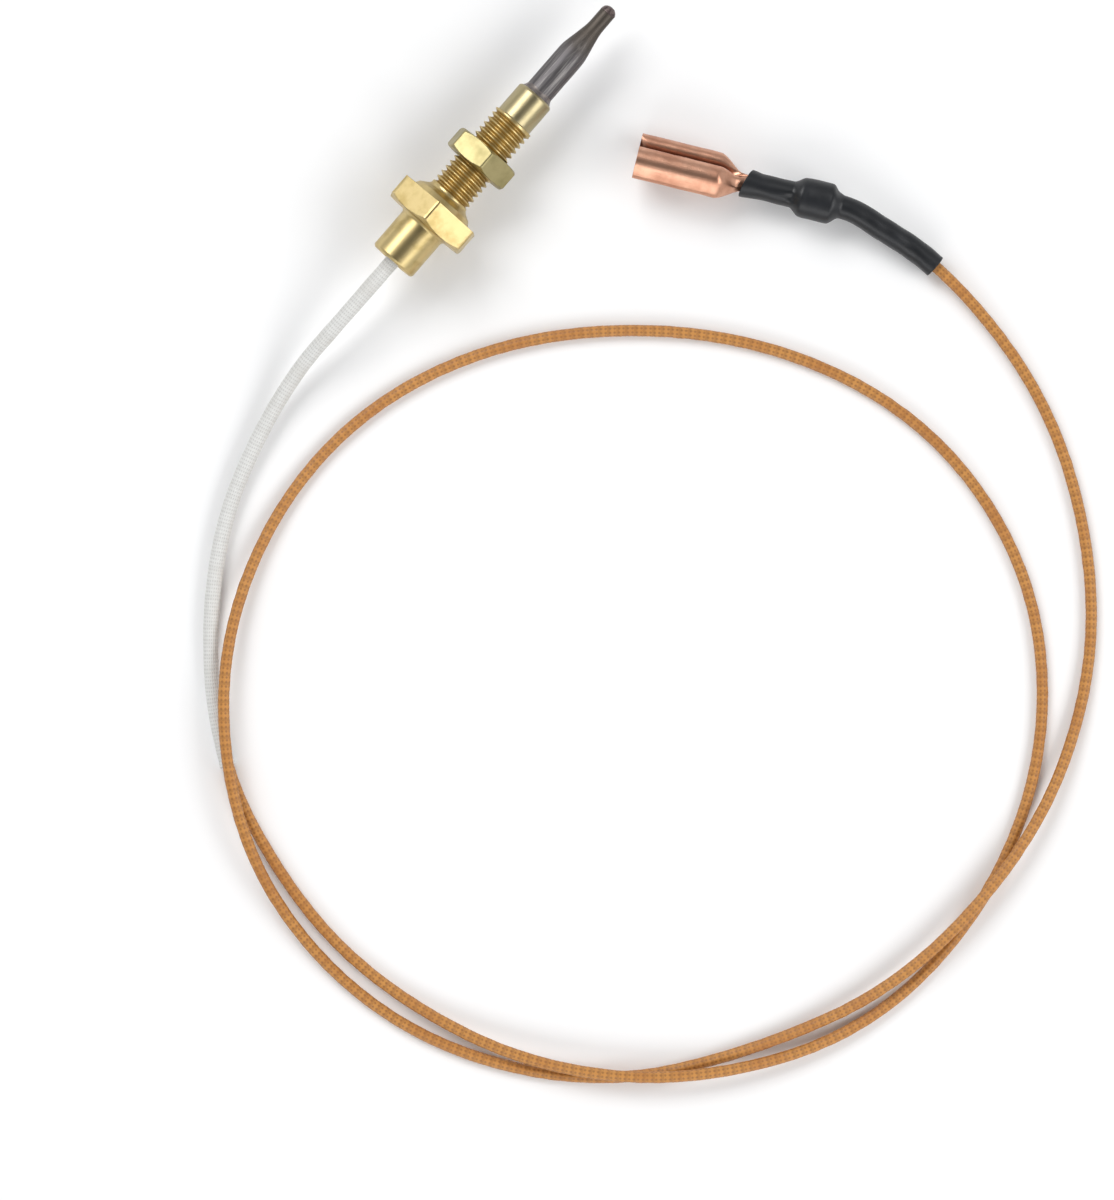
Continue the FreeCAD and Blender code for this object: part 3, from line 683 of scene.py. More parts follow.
class Route:
    """The lead's centreline: a smooth spline over the route's points, read back as a fine polyline."""

    def __init__(self) -> None:
        """Makes the spline, reads its points in millimetres and removes it."""
        curve = bpy.data.curves.new("lead_route", "CURVE")
        curve.dimensions = "3D"
        curve.resolution_u = 48
        spline = curve.splines.new("NURBS")
        spline.points.add(len(ROUTE) - 1)
        table = np.array([(x, y, TABLE + rise, 1.0) for x, y, rise in ROUTE]) * (MM, MM, MM, 1.0)
        spline.points.foreach_set("co", table.ravel())
        spline.order_u = 3
        spline.use_endpoint_u = True
        holder = bpy.data.objects.new("lead_route", curve)
        bpy.context.scene.collection.objects.link(holder)
        bpy.context.view_layer.update()
        mesh = bpy.data.meshes.new_from_object(holder)
        points = np.empty(len(mesh.vertices) * 3)
        mesh.vertices.foreach_get("co", points)
        self.points = points.reshape(-1, 3) / MM
        steps = np.linalg.norm(np.diff(self.points, axis=0), axis=1)
        self.distance = np.concatenate([[0.0], np.cumsum(steps)])
        self.length = float(self.distance[-1])
        bpy.data.objects.remove(holder)
        bpy.data.curves.remove(curve)
        bpy.data.meshes.remove(mesh)

    def at(self, along: np.ndarray) -> np.ndarray:
        """Points at distances along the centreline."""
        return np.stack([np.interp(along, self.distance, self.points[:, axis]) for axis in range(3)], axis=-1)

    def directions(self, along: np.ndarray, reach: float = 1.2) -> np.ndarray:
        """Unit directions, each taken over a short chord centred on its point."""
        chord = self.at(along + reach) - self.at(along - reach)
        return chord / np.linalg.norm(chord, axis=1, keepdims=True)


def sides_of(directions: np.ndarray) -> tuple[np.ndarray, np.ndarray]:
    """Two unit vectors across each direction: one level, up crossed with it, and one at right angles."""
    level = np.cross([0.0, 0.0, 1.0], directions)
    level /= np.linalg.norm(level, axis=1, keepdims=True)
    return level, np.cross(directions, level)


def around_path(
    centres: np.ndarray, directions: np.ndarray, radius: np.ndarray, turn: np.ndarray
) -> np.ndarray:
    """Points round a path: the centre plus radius times (cosine of turn, sine of turn) across it."""
    level, above = sides_of(directions)
    out = np.cos(turn)[..., None] * level[:, None] + np.sin(turn)[..., None] * above[:, None]
    return centres[:, None] + radius[..., None] * out


# ---------------------------------------------------------------- the head


@dataclass
class Head:
    """The brass threaded body, its locknut, the probe and the cement in the boss."""

    brass: TurnedBrass
    nut_brass: NutBrass
    steel: TintedSteel
    weld: MottledMetal
    braze: MottledMetal
    cement: Mineral
    columns: int = 192
    hex_flats: float = 13.7
    hex_thickness: float = 4.0
    hex_crown: float = 0.06
    lip_radius: float = 5.5
    lip_length: float = 0.85
    lip_fall: float = 0.6
    flare_end: float = 1.5
    flare_foot: float = 0.35
    thread_start: float = 1.9
    thread_end: float = 17.2
    thread_radius: float = 3.5
    thread_pitch: float = 1.0
    thread_depth: float = 0.61
    crest: float = 0.14
    root: float = 0.16
    runout: float = 0.7
    ring_step: float = 0.05
    collar_radius: float = 3.1
    body_front: float = 22.6
    boss_radius: float = 3.9
    boss_rear: float = -11.5
    bore_radius: float = 1.8
    socket_radius: float = 2.33
    socket_start: float = 15.6
    lead_bore_radius: float = 2.6
    lead_bore_depth: float = 4.6
    nut_rear: float = 7.8
    nut_thickness: float = 3.6
    nut_flats: float = 10.45
    nut_bore: float = 3.58
    nut_turn: float = math.radians(11.0)
    chamfer: float = math.radians(30.0)
    edge: float = 0.07

    def build(self) -> list[bpy.types.Object]:
        """Makes the head's pieces."""
        return [
            self.threaded_body(),
            self.locknut(),
            self.sheath(),
            self.bead(),
            self.braze_ring(),
            self.cement_plug(),
        ]

    def groove(self, along: np.ndarray, turn: np.ndarray) -> np.ndarray:
        """How deep the thread's groove is at each point.

        The distance from the groove's middle is taken from along / pitch less turn / a full turn. The
        depth is full inside half the root, falls in a straight flank to the crest and fades at both ends.
        """
        phase = along / self.thread_pitch - turn / FULL_TURN
        off_middle = np.abs(phase - np.floor(phase) - 0.5) * self.thread_pitch
        flank_top = (self.thread_pitch - self.crest) / 2
        flank = np.clip((flank_top - off_middle) / (flank_top - self.root / 2), 0.0, 1.0)
        fade = smooth(along, self.thread_start, self.thread_start + self.runout)
        fade = fade * smooth(-along, -self.thread_end, -self.thread_end + self.runout)
        return self.thread_depth * flank * fade

    def threaded_body(self) -> bpy.types.Object:
        """The turned body: boss, hexagon flange, flare, neck, thread and collar outside, bores inside."""
        turn = turns(self.columns)
        hexagon = hexagon_reach(turn, self.hex_flats)
        bore_end = self.boss_rear + self.lead_bore_depth
        rim = eased(
            [
                (bore_end, self.bore_radius),
                (bore_end, self.lead_bore_radius),
                (self.boss_rear, self.lead_bore_radius),
                (self.boss_rear, self.boss_radius - 0.35),
                (self.boss_rear + 0.35, self.boss_radius),
                (-self.hex_thickness - 0.45, self.boss_radius),
                (-self.hex_thickness, self.boss_radius + 0.5),
                (-self.hex_thickness, self.hex_flats / 2 - 0.1),
            ],
            0.18,
        )
        face = rows_of(rim, self.columns)
        near_ends = ([0.0, 0.03, 0.08], [self.hex_thickness - 0.12, self.hex_thickness - 0.05])
        flange_at = np.concatenate([near_ends[0], np.linspace(0.15, 0.9, 16), near_ends[1]])
        flange_at = -self.hex_thickness + flange_at
        cone = self.hex_flats / 2 + (flange_at + self.hex_thickness) / math.tan(self.chamfer) - 0.02
        flange = (
            np.repeat(flange_at[:, None], self.columns, axis=1),
            np.minimum(cone[:, None], hexagon[None, :]),
        )
        edge = (
            np.repeat([[-0.015], [0.0]], self.columns, axis=1),
            np.stack([hexagon - 0.02, hexagon - self.hex_crown]),
        )
        lip = eased(
            [
                (0.0, self.lip_radius + 0.2),
                (0.0, self.lip_radius),
                (self.lip_length, self.lip_radius - self.lip_fall),
                (self.flare_end, self.thread_radius + self.flare_foot),
                (self.thread_start - self.ring_step, self.thread_radius),
            ],
            self.edge,
        )
        flare = rows_of(lip, self.columns)
        thread_at = np.arange(self.thread_start, self.thread_end, self.ring_step)
        thread_grid = np.repeat(thread_at[:, None], self.columns, axis=1)
        thread = (thread_grid, self.thread_radius - self.groove(thread_grid, turn[None, :]))
        front = eased(
            [
                (self.thread_end, self.thread_radius),
                (self.thread_end + 0.12, self.collar_radius),
                (self.body_front - 0.32, self.collar_radius),
                (self.body_front, self.collar_radius - 0.34),
                (self.body_front, self.socket_radius),
                (self.socket_start, self.socket_radius),
                (self.socket_start, self.bore_radius),
            ],
            0.16,
        )
        parts = [face, flange, edge, flare, thread, rows_of(front, self.columns)]
        along = np.concatenate([part[0] for part in parts])
        radius = np.concatenate([part[1] for part in parts])
        piece = skin("head_body", around_axis(along, radius, turn), loop=True)
        return dress(piece, ROOT, self.brass.material(), ("threaded_body",))

    def locknut(self) -> bpy.types.Object:
        """The locknut: a hexagon between two cones, turned a little, with a chamfered bore."""
        even = turns(self.columns)
        hexagon = hexagon_reach(even, self.nut_flats)
        at = np.concatenate([[0.0, 0.02, 0.06], np.linspace(0.12, 0.66, 14)])
        at = np.concatenate([at, (self.nut_thickness - at)[::-1]])
        depth = np.minimum(at, self.nut_thickness - at)
        cone = self.nut_flats / 2 + depth / math.tan(self.chamfer) - 0.06 + 0.04 * smooth(depth, 0.0, 0.06)
        outside = np.minimum(cone[:, None], hexagon[None, :])
        mouth = 0.35
        bore = eased(
            [
                (self.nut_thickness, self.nut_flats / 2 - 0.12),
                (self.nut_thickness, self.nut_bore + mouth),
                (self.nut_thickness - mouth, self.nut_bore),
                (mouth, self.nut_bore),
                (0.0, self.nut_bore + mouth),
                (0.0, self.nut_flats / 2 - 0.12),
            ],
            0.1,
        )
        inner = rows_of(bore, self.columns)
        along = np.concatenate([np.repeat(at[:, None], self.columns, axis=1), inner[0]]) + self.nut_rear
        radius = np.concatenate([outside, inner[1]])
        piece = skin("locknut_hexagon", around_axis(along, radius, even - self.nut_turn), loop=True)
        return dress(piece, NUT, self.nut_brass.material(), ("locknut",))

    def sheath(self) -> bpy.types.Object:
        """The probe's sheath: a stem, a cone and a slim tip, drawn with faint waves, open at its rear."""
        outside = eased(
            [(15.7, 2.0), (15.9, 2.28), (31.3, 2.28), (36.3, 1.27), (39.42, 1.27)],
            0.9,
            9,
        )
        stations = np.linspace(0.0, 1.0, 140)
        share = np.concatenate([[0.0], np.cumsum(np.linalg.norm(np.diff(outside, axis=0), axis=1))])
        share = share / share[-1]
        along = np.interp(stations, share, outside[:, 0])
        radius = np.interp(stations, share, outside[:, 1])
        inside = np.array([(39.42, 0.85), (36.3, 0.85), (31.3, 1.8), (15.7, 1.8)])
        turn = turns(96)
        skin_along, skin_radius = rows_of(np.stack([along, radius], axis=-1), 96)
        drawn = waves(skin_along * 0.7, np.broadcast_to(turn, skin_along.shape), 5)
        skin_radius = skin_radius * (1 + 0.012 * drawn * smooth(skin_along, 23.5, 27.0))
        bore_along, bore_radius = rows_of(inside, 96)
        along = np.concatenate([skin_along, bore_along])
        grid = around_axis(along, np.concatenate([skin_radius, bore_radius]), turn)
        piece = skin("probe_skin", grid, loop=True)
        return dress(piece, ROOT, self.steel.material(), ("probe_sheath",))

    def bead(self) -> bpy.types.Object:
        """The weld that closes the tip: a blunt dome, its radius a superellipse of its length, lumpy."""
        share = np.linspace(0.0, 1.0, 26)
        length = 1.2
        outline = np.stack([39.38 + length * share, 1.29 * (1 - share**2.3) ** 0.5], axis=-1)
        along, radius = rows_of(outline, 72)
        turn = turns(72)
        lumps = waves(along * 3.0, np.broadcast_to(turn, along.shape), 11, 9)
        radius = np.maximum(radius, 0.04) * (1 + 0.07 * lumps)
        piece = skin("weld_dome", around_axis(along, radius, turn), loop=False)
        return dress(piece, ROOT, self.weld.material(), ("hot_junction_bead",))

    def braze_ring(self) -> bpy.types.Object:
        """The braze fillet: a concave ramp from the collar's face to the sheath with a wandering edge."""
        turn = turns(144)
        share = np.linspace(0.0, 1.0, 14)[:, None]
        reach = 0.85 + 0.22 * waves(np.zeros_like(turn), turn, 21, 5)
        height = 0.36 + 0.1 * waves(np.ones_like(turn), turn, 22, 5)
        along = self.body_front - 0.01 + share * reach
        radius = 2.27 + height * (1 - share) ** 1.7 + 0.035 * (1 - share**4)
        inner_along = np.stack([along[-1], along[0]])
        inner_radius = np.full_like(inner_along, 2.2)
        grid = around_axis(np.concatenate([along, inner_along]), np.concatenate([radius, inner_radius]), turn)
        piece = skin("braze_fillet", grid, loop=True)
        return dress(piece, ROOT, self.braze.material(), ("braze_ring",))

    def cement_plug(self) -> bpy.types.Object:
        """The cement in the boss: a ring round the sleeve whose outer face is dished and lumpy."""
        turn = turns(96)
        reach = np.linspace(1.26, 2.56, 12)[:, None]
        wander = waves(reach * 3.0, np.broadcast_to(turn, (12, 96)), 31)
        dish = -11.05 + 0.25 * np.sin(np.pi * (reach - 1.26) / 1.3) + 0.07 * wander
        face = (dish, np.repeat(reach, 96, axis=1))
        back = rows_of(np.array([(-6.95, 2.56), (-6.95, 1.26)]), 96)
        grid = around_axis(np.concatenate([face[0], back[0]]), np.concatenate([face[1], back[1]]), turn)
        piece = skin("boss_cement", grid, loop=True)
        return dress(piece, ROOT, self.cement.material(), ("cement_plug",))


# ---------------------------------------------------------------- the lead


@dataclass
class Lead:
    """The conductor, the amber insulated lead and the white sleeve over its hot end."""

    amber: Braid
    white: Braid
    wire: MottledMetal
    insulation_start: float = 3.5
    strip: float = 6.6
    radius: float = LEAD_RADIUS
    sleeve_start: float = 3.8
    sleeve_length: float = 92.0
    sleeve_radius: float = 1.18
    sleeve_bore: float = 0.95
    wire_radius: float = 0.4
    sides: int = 24
    station: float = 0.26

    def build(self, route: Route, pieces_on_it: list[bpy.types.Object]) -> bpy.types.Object:
        """Args:
            route: the centreline.
            pieces_on_it: the terminal's pieces; not used.

        Returns:
            The insulated lead.
        """
        wire = self.tube(route, "lead_wire", 0.0, route.length, 2.0, 12, self.wire_radius, 0.0, 1.0, 1)
        dress(wire, ROOT, self.wire.material(), ("lead_conductor",))
        end = route.length - self.strip
        lead = self.tube(
            route, "amber_lead", self.insulation_start, end, self.station, self.sides,
            self.radius, 0.045, 1.4, 4,
        )
        dress(lead, ROOT, self.amber.material(), ("insulated_lead",))
        sleeve = self.sleeve(route)
        return lead

    def tube(
        self,
        route: Route,
        name: str,
        start: float,
        end: float,
        station: float,
        sides: int,
        radius: float,
        relief: float,
        pitch: float,
        strands: int,
    ) -> bpy.types.Object:
        """A round tube along the route, closed at both ends.

        Its radius is the given one plus relief times the product of two sines, of along / pitch plus
        and minus turn times the strands: the diamonds of a braid.

        Args:
            route: the centreline.
            name: the piece's name.
            start: where it starts along the route.
            end: where it ends.
            station: the distance from ring to ring.
            sides: the points round a ring.
            radius: its radius.
            relief: how far the strands stand out.
            pitch: the length of one diamond.
            strands: how many diamonds go round.

        Returns:
            The tube.
        """
        along = np.linspace(start, end, int((end - start) / station) + 1)
        turn = turns(sides)
        steps = along[:, None] * (FULL_TURN / pitch)
        weave = np.sin(steps + strands * turn) * np.sin(steps - strands * turn)
        ripple = waves(along[:, None] * 0.9, np.broadcast_to(turn, weave.shape), 41) if relief else 0.0
        reach = radius + relief * weave * 0.7 + relief * ripple - relief * 0.5
        grid = around_path(route.at(along), route.directions(along), reach, turn)
        return skin(name, grid, loop=False, along=along)

    def sleeve(self, route: Route) -> bpy.types.Object:
        """The white sleeve: a braided tube with a wall, slightly frayed and flared where it ends."""
        sides, pitch, strands = 60, 1.15, 10
        end = self.sleeve_start + self.sleeve_length
        out = np.linspace(self.sleeve_start, end, int(self.sleeve_length / 0.2))
        turn = turns(sides)
        steps = out[:, None] * (FULL_TURN / pitch)
        weave = np.sin(steps + strands * turn) * np.sin(steps - strands * turn)
        ripple = waves(out[:, None] * 0.5, np.broadcast_to(turn, weave.shape), 51)
        flare = 0.1 * smooth(out, end - 1.2, end)[:, None]
        fray = waves(turn[None, :] * 0.0, turn[None, :] * 3.0, 52, 9) * 0.25
        fray = fray * smooth(out, end - 1.5, end)[:, None]
        reach = self.sleeve_radius + 0.035 * weave + 0.05 * ripple + flare
        outer = around_path(route.at(out), route.directions(out), reach, turn)
        outer += route.directions(out)[:, None] * fray[..., None]
        back = np.linspace(end - 0.02, self.sleeve_start, 150)
        bore = np.full((150, sides), self.sleeve_bore)
        inner = around_path(route.at(back), route.directions(back), bore, turn)
        grid = np.concatenate([outer, inner])
        piece = skin("white_sleeve", grid, loop=True, along=np.concatenate([out, back]))
        return dress(piece, ROOT, self.white.material(), ("glass_fibre_sleeve",))


# ---------------------------------------------------------------- the terminal


@dataclass
class Terminal:
    """The rolled tab receptacle with its crimp, and the heat-shrunk tube over it."""

    copper: BareCopper
    sleeving: ShrunkSleeving
    sheet: float = 0.45
    half_width: float = 4.3
    height: float = 4.8
    floor_radius: float = 1.1
    roll_radius: float = 2.2
    curl_radius: float = 1.25
    tab_gap: float = 0.95
    mouth: float = 17.5
    neck: float = 4.0
    barrel_radius: float = 1.35
    barrel_rise: float = 2.0
    barrel_end: float = -6.8
    crimp_end: float = -1.0
    tilt: float = math.radians(57.0)
    waist: float = 2.05
    mouth_flare: float = 0.22
    bulge: float = 3.0
    tail: float = 1.85
    wall: float = 0.6
    shrink_length: float = 32.8
    lead_hole: float = 0.95
    arc_steps: int = 9

    def frame(self, route: Route) -> Matrix:
        """The receptacle's own frame: X out of the mouth, Z off its base, placed by the route's end."""
        end = Vector(route.points[-1])
        heading = math.atan2(ROUTE[-1][1] - ROUTE[-2][1], ROUTE[-1][0] - ROUTE[-2][0])
        turn = Matrix.Rotation(heading, 3, "Z") @ Matrix.Rotation(self.tilt, 3, "X")
        origin = end - turn @ Vector((self.crimp_end, 0.0, self.barrel_rise))
        return Matrix.Translation(origin) @ turn.to_4x4()

    def place(self, grid: np.ndarray, route: Route) -> np.ndarray:
        """Points of the receptacle's own frame carried into the part's frame."""
        frame_matrix = np.array(self.frame(route))
        return grid @ frame_matrix[:3, :3].T + frame_matrix[:3, 3]

    def arc(self, across: float, up: float, radius: float, first: float, last: float) -> np.ndarray:
        """Points of an arc about (across, up), from one angle in degrees to another."""
        angle = np.radians(np.linspace(first, last, self.arc_steps))
        return np.stack([across + radius * np.cos(angle), up + radius * np.sin(angle)], axis=-1)

    def half_section(self) -> np.ndarray:
        """One side of the rolled section, from the middle of its underside round to the middle inside."""
        sheet, top = self.sheet, self.half_width - self.roll_radius
        foot = self.half_width - self.floor_radius
        lip = sheet + self.tab_gap
        roll_up, curl_up = self.height - self.roll_radius, self.height - self.curl_radius
        inner_curl = self.curl_radius - sheet
        return np.concatenate(
            [
                [(0.0, 0.0), (foot / 2, 0.0)],
                self.arc(foot, self.floor_radius, self.floor_radius, -90, 0),
                self.arc(top, roll_up, self.roll_radius, 0, 90),
                self.arc(top, curl_up, self.curl_radius, 90, 180)[1:],
                self.arc(top - self.curl_radius + sheet / 2, lip + sheet / 2, sheet / 2, 180, 360),
                self.arc(top, curl_up, inner_curl, 180, 90),
                self.arc(top, roll_up, self.roll_radius - sheet, 90, 0)[1:],
                self.arc(foot, self.floor_radius, self.floor_radius - sheet, 0, -90),
                [(foot / 2, sheet), (0.0, sheet)],
            ]
        )

    def section(self) -> np.ndarray:
        """The whole rolled section: one side and its mirror, as one closed outline."""
        side = self.half_section()
        return np.concatenate([side, (side * (-1.0, 1.0))[-2:0:-1]])

    def crimped(self, outline: np.ndarray) -> np.ndarray:
        """The outline closed round the conductor.

        Each point goes to a ring about the barrel's axis at its own share of the way round the sheet,
        outside points to the barrel's radius and inside points one sheet less.
        """
        count = len(outline) // 2
        share = np.linspace(0.0, 1.0, count + 1)
        outer = share < 0.5
        swing = np.where(outer, share, 1.0 - share) * 2 * math.pi * 0.985
        radius = np.where(outer, self.barrel_radius, self.barrel_radius - self.sheet)
        side = np.stack([radius * np.sin(swing), self.barrel_rise - radius * np.cos(swing)], axis=-1)
        return np.concatenate([side, (side * (-1.0, 1.0))[-2:0:-1]])

    def receptacle(self, route: Route) -> bpy.types.Object:
        """The receptacle: its section carried along X, spread at the mouth and folded in at the neck.

        The spread moves points outwards by the square of the last stretch of the way to the mouth. The
        neck blends the section to the crimped ring, with two creases that are sines of the way along.
        """
        outline = self.section()
        crimp = self.crimped(outline)
        at = np.concatenate(
            [
                [self.barrel_end, -4.0, -1.0],
                np.linspace(-0.4, self.neck + 1.2, 22),
                np.linspace(self.neck + 1.6, self.mouth - 1.6, 30),
                self.mouth - 1.4 * (1 - np.linspace(0.0, 1.0, 12)) ** 1.5,
            ]
        )
        share = smooth(at, 0.0, self.neck + 0.6)[:, None, None]
        body = outline[None] * np.ones((len(at), 1, 1))
        inward = smooth(np.abs(outline[:, 0]), 2.6, 0.4) * smooth(outline[:, 1], 0.9, 1.6)
        lead_in = (np.clip((at - self.mouth + 1.4) / 1.4, 0.0, 1.0) ** 2)[:, None]
        sign = np.sign(outline[:, 0])[None]
        body[..., 0] += lead_in * sign * (0.55 * inward[None])
        body[..., 1] += lead_in * 0.35 * inward[None]
        blended = share * body + (1 - share) * crimp[None]
        fold = np.sin(np.pi * np.clip(at / (self.neck + 0.6), 0.0, 1.0))[:, None]
        pinch = np.exp(-((np.abs(outline[:, 0]) - 3.4) ** 2) / 0.5) * smooth(outline[:, 1], 2.0, 3.6)
        blended[..., 1] -= fold * 0.75 * pinch[None]
        flat = np.concatenate([np.broadcast_to(at[:, None, None], (*blended.shape[:2], 1)), blended], axis=-1)
        dents = waves(flat[..., 0] * 0.8, flat[..., 1] * 0.9, 61)
        flat[..., 2] += 0.05 * dents * smooth(flat[..., 0], 2.0, 4.0)
        piece = skin("tab_socket", self.place(flat, route), loop=False)
        return dress(piece, ROOT, self.copper.material(), ("tab_receptacle",))

    def shrink(self, route: Route) -> bpy.types.Object:
        """The heat-shrunk tube: its radius steps from mouth to waist to bulge to tail.

        Its centre follows the crimp's axis as far as the grip and the lead's route beyond it. Its mouth
        is cut on a slant, and wrinkles are sines along it and round it.
        """
        columns = 96
        stretches = ((0.0, 7.0, 50), (7.1, 18.0, 110), (18.1, self.shrink_length, 90))
        along = np.concatenate([np.linspace(first, last, count) for first, last, count in stretches])
        turn = turns(columns)
        tip = route.points[-1]
        axis = route.directions(np.array([route.length - 2.0]))[0]
        straight = tip + axis * (-self.crimp_end - along)[:, None]
        back = route.at(route.length - self.crimp_end - along)
        share = smooth(along, 12.0, 22.0)[:, None]
        centres = straight + share * (back - straight)
        directions = -np.gradient(centres, along, axis=0)
        directions /= np.linalg.norm(directions, axis=1, keepdims=True)
        level = along[:, None] + 0.0 * turn[None]
        profile = self.waist + self.mouth_flare * smooth(-level, -2.6, 0.0)
        profile = profile + (self.bulge - self.waist) * smooth(level, 7.2, 9.0)
        profile = profile + (self.tail - self.bulge) * smooth(level, 13.4, 15.4)
        upper = 0.5 + 0.5 * np.sin(turn)[None]
        side = np.cos(turn)[None]
        dimple = np.exp(-((level - 7.4) ** 2) / 1.1) * np.exp(-((side - 0.35) ** 2) / 0.08) * upper
        notch = np.exp(-((level - 14.2) ** 2) / 0.3) * np.exp(-((side + 0.9) ** 2) / 0.1)
        flatten = 1 + 0.06 * np.cos(2 * turn)[None] * smooth(level, 8.0, 10.0) * smooth(-level, -15.0, -13.0)
        ripple = waves(level * 0.9, np.broadcast_to(turn, level.shape), 71)
        reach = profile * flatten - 0.35 * dimple - 0.3 * notch + 0.07 * ripple
        slant = 0.75 * np.cos(turn - 0.6)[None] * smooth(-level, -3.0, 0.0)
        outer = around_path(centres, directions, reach, turn) + directions[:, None] * slant[..., None]
        inner_rows = slice(None, None, -4)
        hole = np.where(level > 15.0, self.lead_hole, reach - self.wall)
        hole = np.minimum(hole, reach - 0.3)
        inner = around_path(centres, directions, hole, turn) + directions[:, None] * slant[..., None]
        grid = np.concatenate([outer, inner[inner_rows]])
        lengths = np.concatenate([along, along[inner_rows]])
        piece = skin("shrunk_sleeving", grid, loop=True, along=lengths)
        return dress(piece, ROOT, self.sleeving.material(), ("heat_shrink_tube",))

    def build(self, route: Route) -> list[bpy.types.Object]:
        """Makes the terminal's pieces."""
        return [self.receptacle(route), self.shrink(route)]


# ---------------------------------------------------------------- inner pieces


@dataclass(frozen=True)
class InnerFinishes:
    """Finishes of the CAD nodes that keep their shape: the core wire, the insulators and the splice."""

    constantan: MottledMetal = MottledMetal(
        "drawn_constantan", (0.62, 0.56, 0.48), (0.46, 0.41, 0.36), roughness=0.35, relief=0.005
    )
    ceramic: Mineral = Mineral("fired_ceramic", (0.86, 0.84, 0.78), (0.66, 0.62, 0.55))
    copper: MottledMetal = MottledMetal(
        "crimped_copper", (0.75, 0.43, 0.30), (0.45, 0.24, 0.17), roughness=0.35, relief=0.01
    )
    mica: Mineral = Mineral("rolled_mica", (0.74, 0.68, 0.56), (0.5, 0.44, 0.33), roughness=0.5)

    def apply(self) -> None:
        """Puts the finishes on the nodes' own objects."""
        wanted = {
            "constantan_core": self.constantan,
            "tip_insulator": self.ceramic,
            "stem_insulator": self.ceramic,
            "body_insulator": self.ceramic,
            "splice_ferrule": self.copper,
            "splice_insulator": self.mica,
        }
        made = {finish: finish.material() for finish in dict.fromkeys(wanted.values())}
        for node, finish in wanted.items():
            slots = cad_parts[node].data.materials
            slots.clear()
            slots.append(made[finish])
            LOG.info("%s keeps its shape", node)


# ---------------------------------------------------------------- the studio


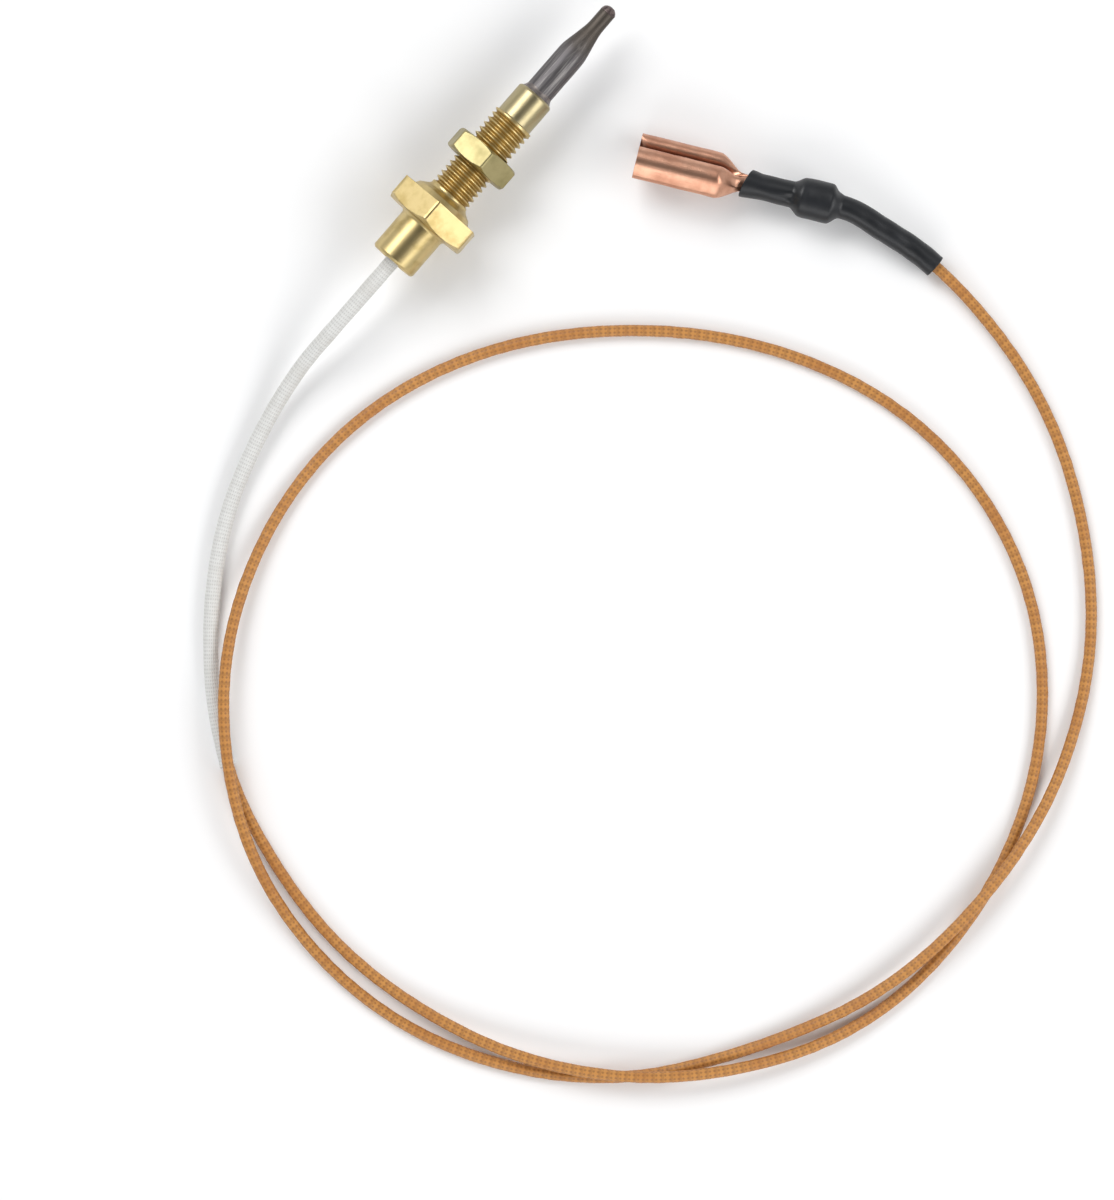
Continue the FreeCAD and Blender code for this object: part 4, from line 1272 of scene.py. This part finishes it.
@dataclass
class Studio:
    """The camera straight above, a pale table and soft lights."""

    aim: tuple[float, float] = (-34.4, -53.7)
    up: tuple[float, float] = (0.75538, 0.65529)
    view_height: float = 186.05
    distance: float = 900.0
    sensor: float = 36.0
    table_half: float = 3000.0
    sky_strength: float = 0.5
    sky_colour: tuple[float, float, float, float] = (0.97, 0.98, 1.0, 1.0)
    zenith: float = 0.03
    dark_inside: float = 0.93
    dark_outside: float = 0.84
    # Name, then metres towards the picture's top, to its right and up, then sides in metres, then watts.
    lights: tuple[tuple[str, tuple[float, float, float], tuple[float, float], float], ...] = (
        ("key", (0.55, -0.35, 0.75), (0.7, 0.5), 6.0),
        ("fill", (-0.2, 0.7, 0.6), (0.8, 0.4), 3.5),
        ("low", (-0.7, 0.0, 0.45), (0.9, 0.3), 2.2),
    )

    def camera(self) -> None:
        """A camera above the aim, looking down, with its picture's top towards `up`."""
        data = bpy.data.cameras.new("overhead")
        data.sensor_width = self.sensor
        data.lens = self.sensor * self.distance / self.view_height
        data.clip_end = 10.0
        holder = bpy.data.objects.new("overhead", data)
        bpy.context.scene.collection.objects.link(holder)
        above = Vector((self.up[0], self.up[1], 0.0)).normalized()
        right = above.cross(Vector((0.0, 0.0, 1.0)))
        turn = Matrix((right, above, (0.0, 0.0, 1.0))).transposed().to_4x4()
        spot = Vector((self.aim[0], self.aim[1], self.distance)) * MM
        holder.matrix_world = Matrix.Translation(spot) @ turn
        bpy.context.scene.camera = holder

    def table(self) -> None:
        """A plain pale sheet at the table's height."""
        half, height = self.table_half * MM, TABLE * MM
        mesh = bpy.data.meshes.new("table")
        corners = [(-half, -half, height), (half, -half, height), (half, half, height), (-half, half, height)]
        mesh.from_pydata(corners, [], [(0, 1, 2, 3)])
        graph = Graph(bpy.data.materials.new("pale_table"))
        material = graph.finish(Base_Color=(0.9, 0.9, 0.9, 1.0), Roughness=0.7)
        mesh.materials.append(material)
        sheet = bpy.data.objects.new("table", mesh)
        bpy.context.scene.collection.objects.link(sheet)

    def light(self, name: str, place: Vector, size: tuple[float, float], power: float) -> None:
        """A rectangular soft light that faces the part.

        Args:
            name: its name.
            place: where it hangs, in metres.
            size: its sides in metres.
            power: its strength in watts.
        """
        data = bpy.data.lights.new(name, "AREA")
        data.shape = "RECTANGLE"
        data.size, data.size_y = size
        data.energy = power
        holder = bpy.data.objects.new(name, data)
        bpy.context.scene.collection.objects.link(holder)
        target = Vector((self.aim[0], self.aim[1], 0.0)) * MM
        facing = (target - place).to_track_quat("-Z", "Y").to_matrix().to_4x4()
        holder.matrix_world = Matrix.Translation(place) @ facing

    def build(self) -> None:
        """Makes the camera, the table, the lights and the sky."""
        self.camera()
        self.table()
        above = Vector((self.up[0], self.up[1], 0.0))
        right = above.cross(Vector((0.0, 0.0, 1.0)))
        for name, (forward, sideways, height), size, power in self.lights:
            place = above * forward + right * sideways + Vector((0.0, 0.0, height))
            self.light(name, place, size, power)
        self.sky()

    def sky(self) -> None:
        """A soft sky that is dark straight above, as under an overhead camera, and bright lower down.

        Its strength rises with the angle from straight up: from `zenith` to 1 between two heights of
        the direction's Z part.
        """
        world = bpy.data.worlds.new("soft_sky")
        graph = Graph(world)
        direction = graph.node("ShaderNodeTexCoord", output="Generated")
        height = graph.part(direction, "Z")
        open_sky = height.step(self.dark_inside, self.dark_outside)
        strength = self.sky_strength * (self.zenith + (1 - self.zenith) * open_sky)
        inputs = {"Color": self.sky_colour, "Strength": strength}
        background = graph.node("ShaderNodeBackground", inputs=inputs)
        output = graph.tree.nodes.new("ShaderNodeOutputWorld")
        graph.tree.links.new(background.socket, output.inputs["Surface"])
        bpy.context.scene.world = world
        bpy.context.scene.view_settings.view_transform = "Standard"


def build_all() -> None:
    """Builds the studio and the pieces in order: camera, route, terminal, lead, head, inner pieces."""
    Studio().build()
    route = Route()
    LOG.info("route: %.1f mm", route.length)
    socket_heading = math.atan2(ROUTE[-1][1] - ROUTE[-2][1], ROUTE[-1][0] - ROUTE[-2][0])
    terminal = Terminal(
        copper=BareCopper(
            "copper_strip", (0.68, 0.38, 0.26), (0.55, 0.27, 0.175), (0.20, 0.05, 0.022), socket_heading
        ),
        sleeving=ShrunkSleeving("black_sleeving", (0.005, 0.006, 0.008), (0.012, 0.014, 0.018)),
    )
    lead = Lead(
        amber=Braid(
            "amber_glass_braid", (0.56, 0.25, 0.055), (0.15, 0.045, 0.008), (0.36, 0.12, 0.02),
            pitch=1.4, ends_round=4, speck_pitch=1.4, coat=0.15,
        ),
        white=Braid(
            "white_glass_braid", (0.72, 0.72, 0.70), (0.40, 0.39, 0.37), (0.58, 0.56, 0.52),
            pitch=1.15, ends_round=10, speck_pitch=2.3,
            gap_shade_strength=0.55, speck_strength=0.12, roughness=0.75,
        ),
        wire=MottledMetal("tinned_wire", (0.78, 0.70, 0.64), (0.60, 0.50, 0.44), roughness=0.3, relief=0.004),
    )
    head = Head(
        brass=TurnedBrass(
            "turned_brass", (0.62, 0.49, 0.235), (0.48, 0.36, 0.145), (0.42, 0.28, 0.09), (0.40, 0.345, 0.205)
        ),
        nut_brass=NutBrass("nut_brass_satin", (0.41, 0.35, 0.175), (0.29, 0.25, 0.115)),
        steel=TintedSteel(
            "heat_tinted_steel", (0.12, 0.112, 0.115), (0.28, 0.265, 0.255), (0.085, 0.07, 0.055)
        ),
        weld=MottledMetal("oxidised_weld", (0.22, 0.17, 0.16), (0.08, 0.06, 0.06), roughness=0.5),
        braze=MottledMetal(
            "silver_braze_fillet", (0.26, 0.23, 0.21), (0.14, 0.12, 0.12), roughness=0.4, grain=1200.0
        ),
        cement=Mineral("boss_cement_dried", (0.55, 0.53, 0.48), (0.32, 0.29, 0.25)),
    )
    lead.build(route, terminal.build(route))
    head.build()
    InnerFinishes().apply()


def main() -> None:
    """Builds the whole scene and reports each piece."""
    logging.basicConfig(level=logging.INFO, format="%(name)s: %(message)s")
    build_all()


if __name__ == "__main__":
    main()
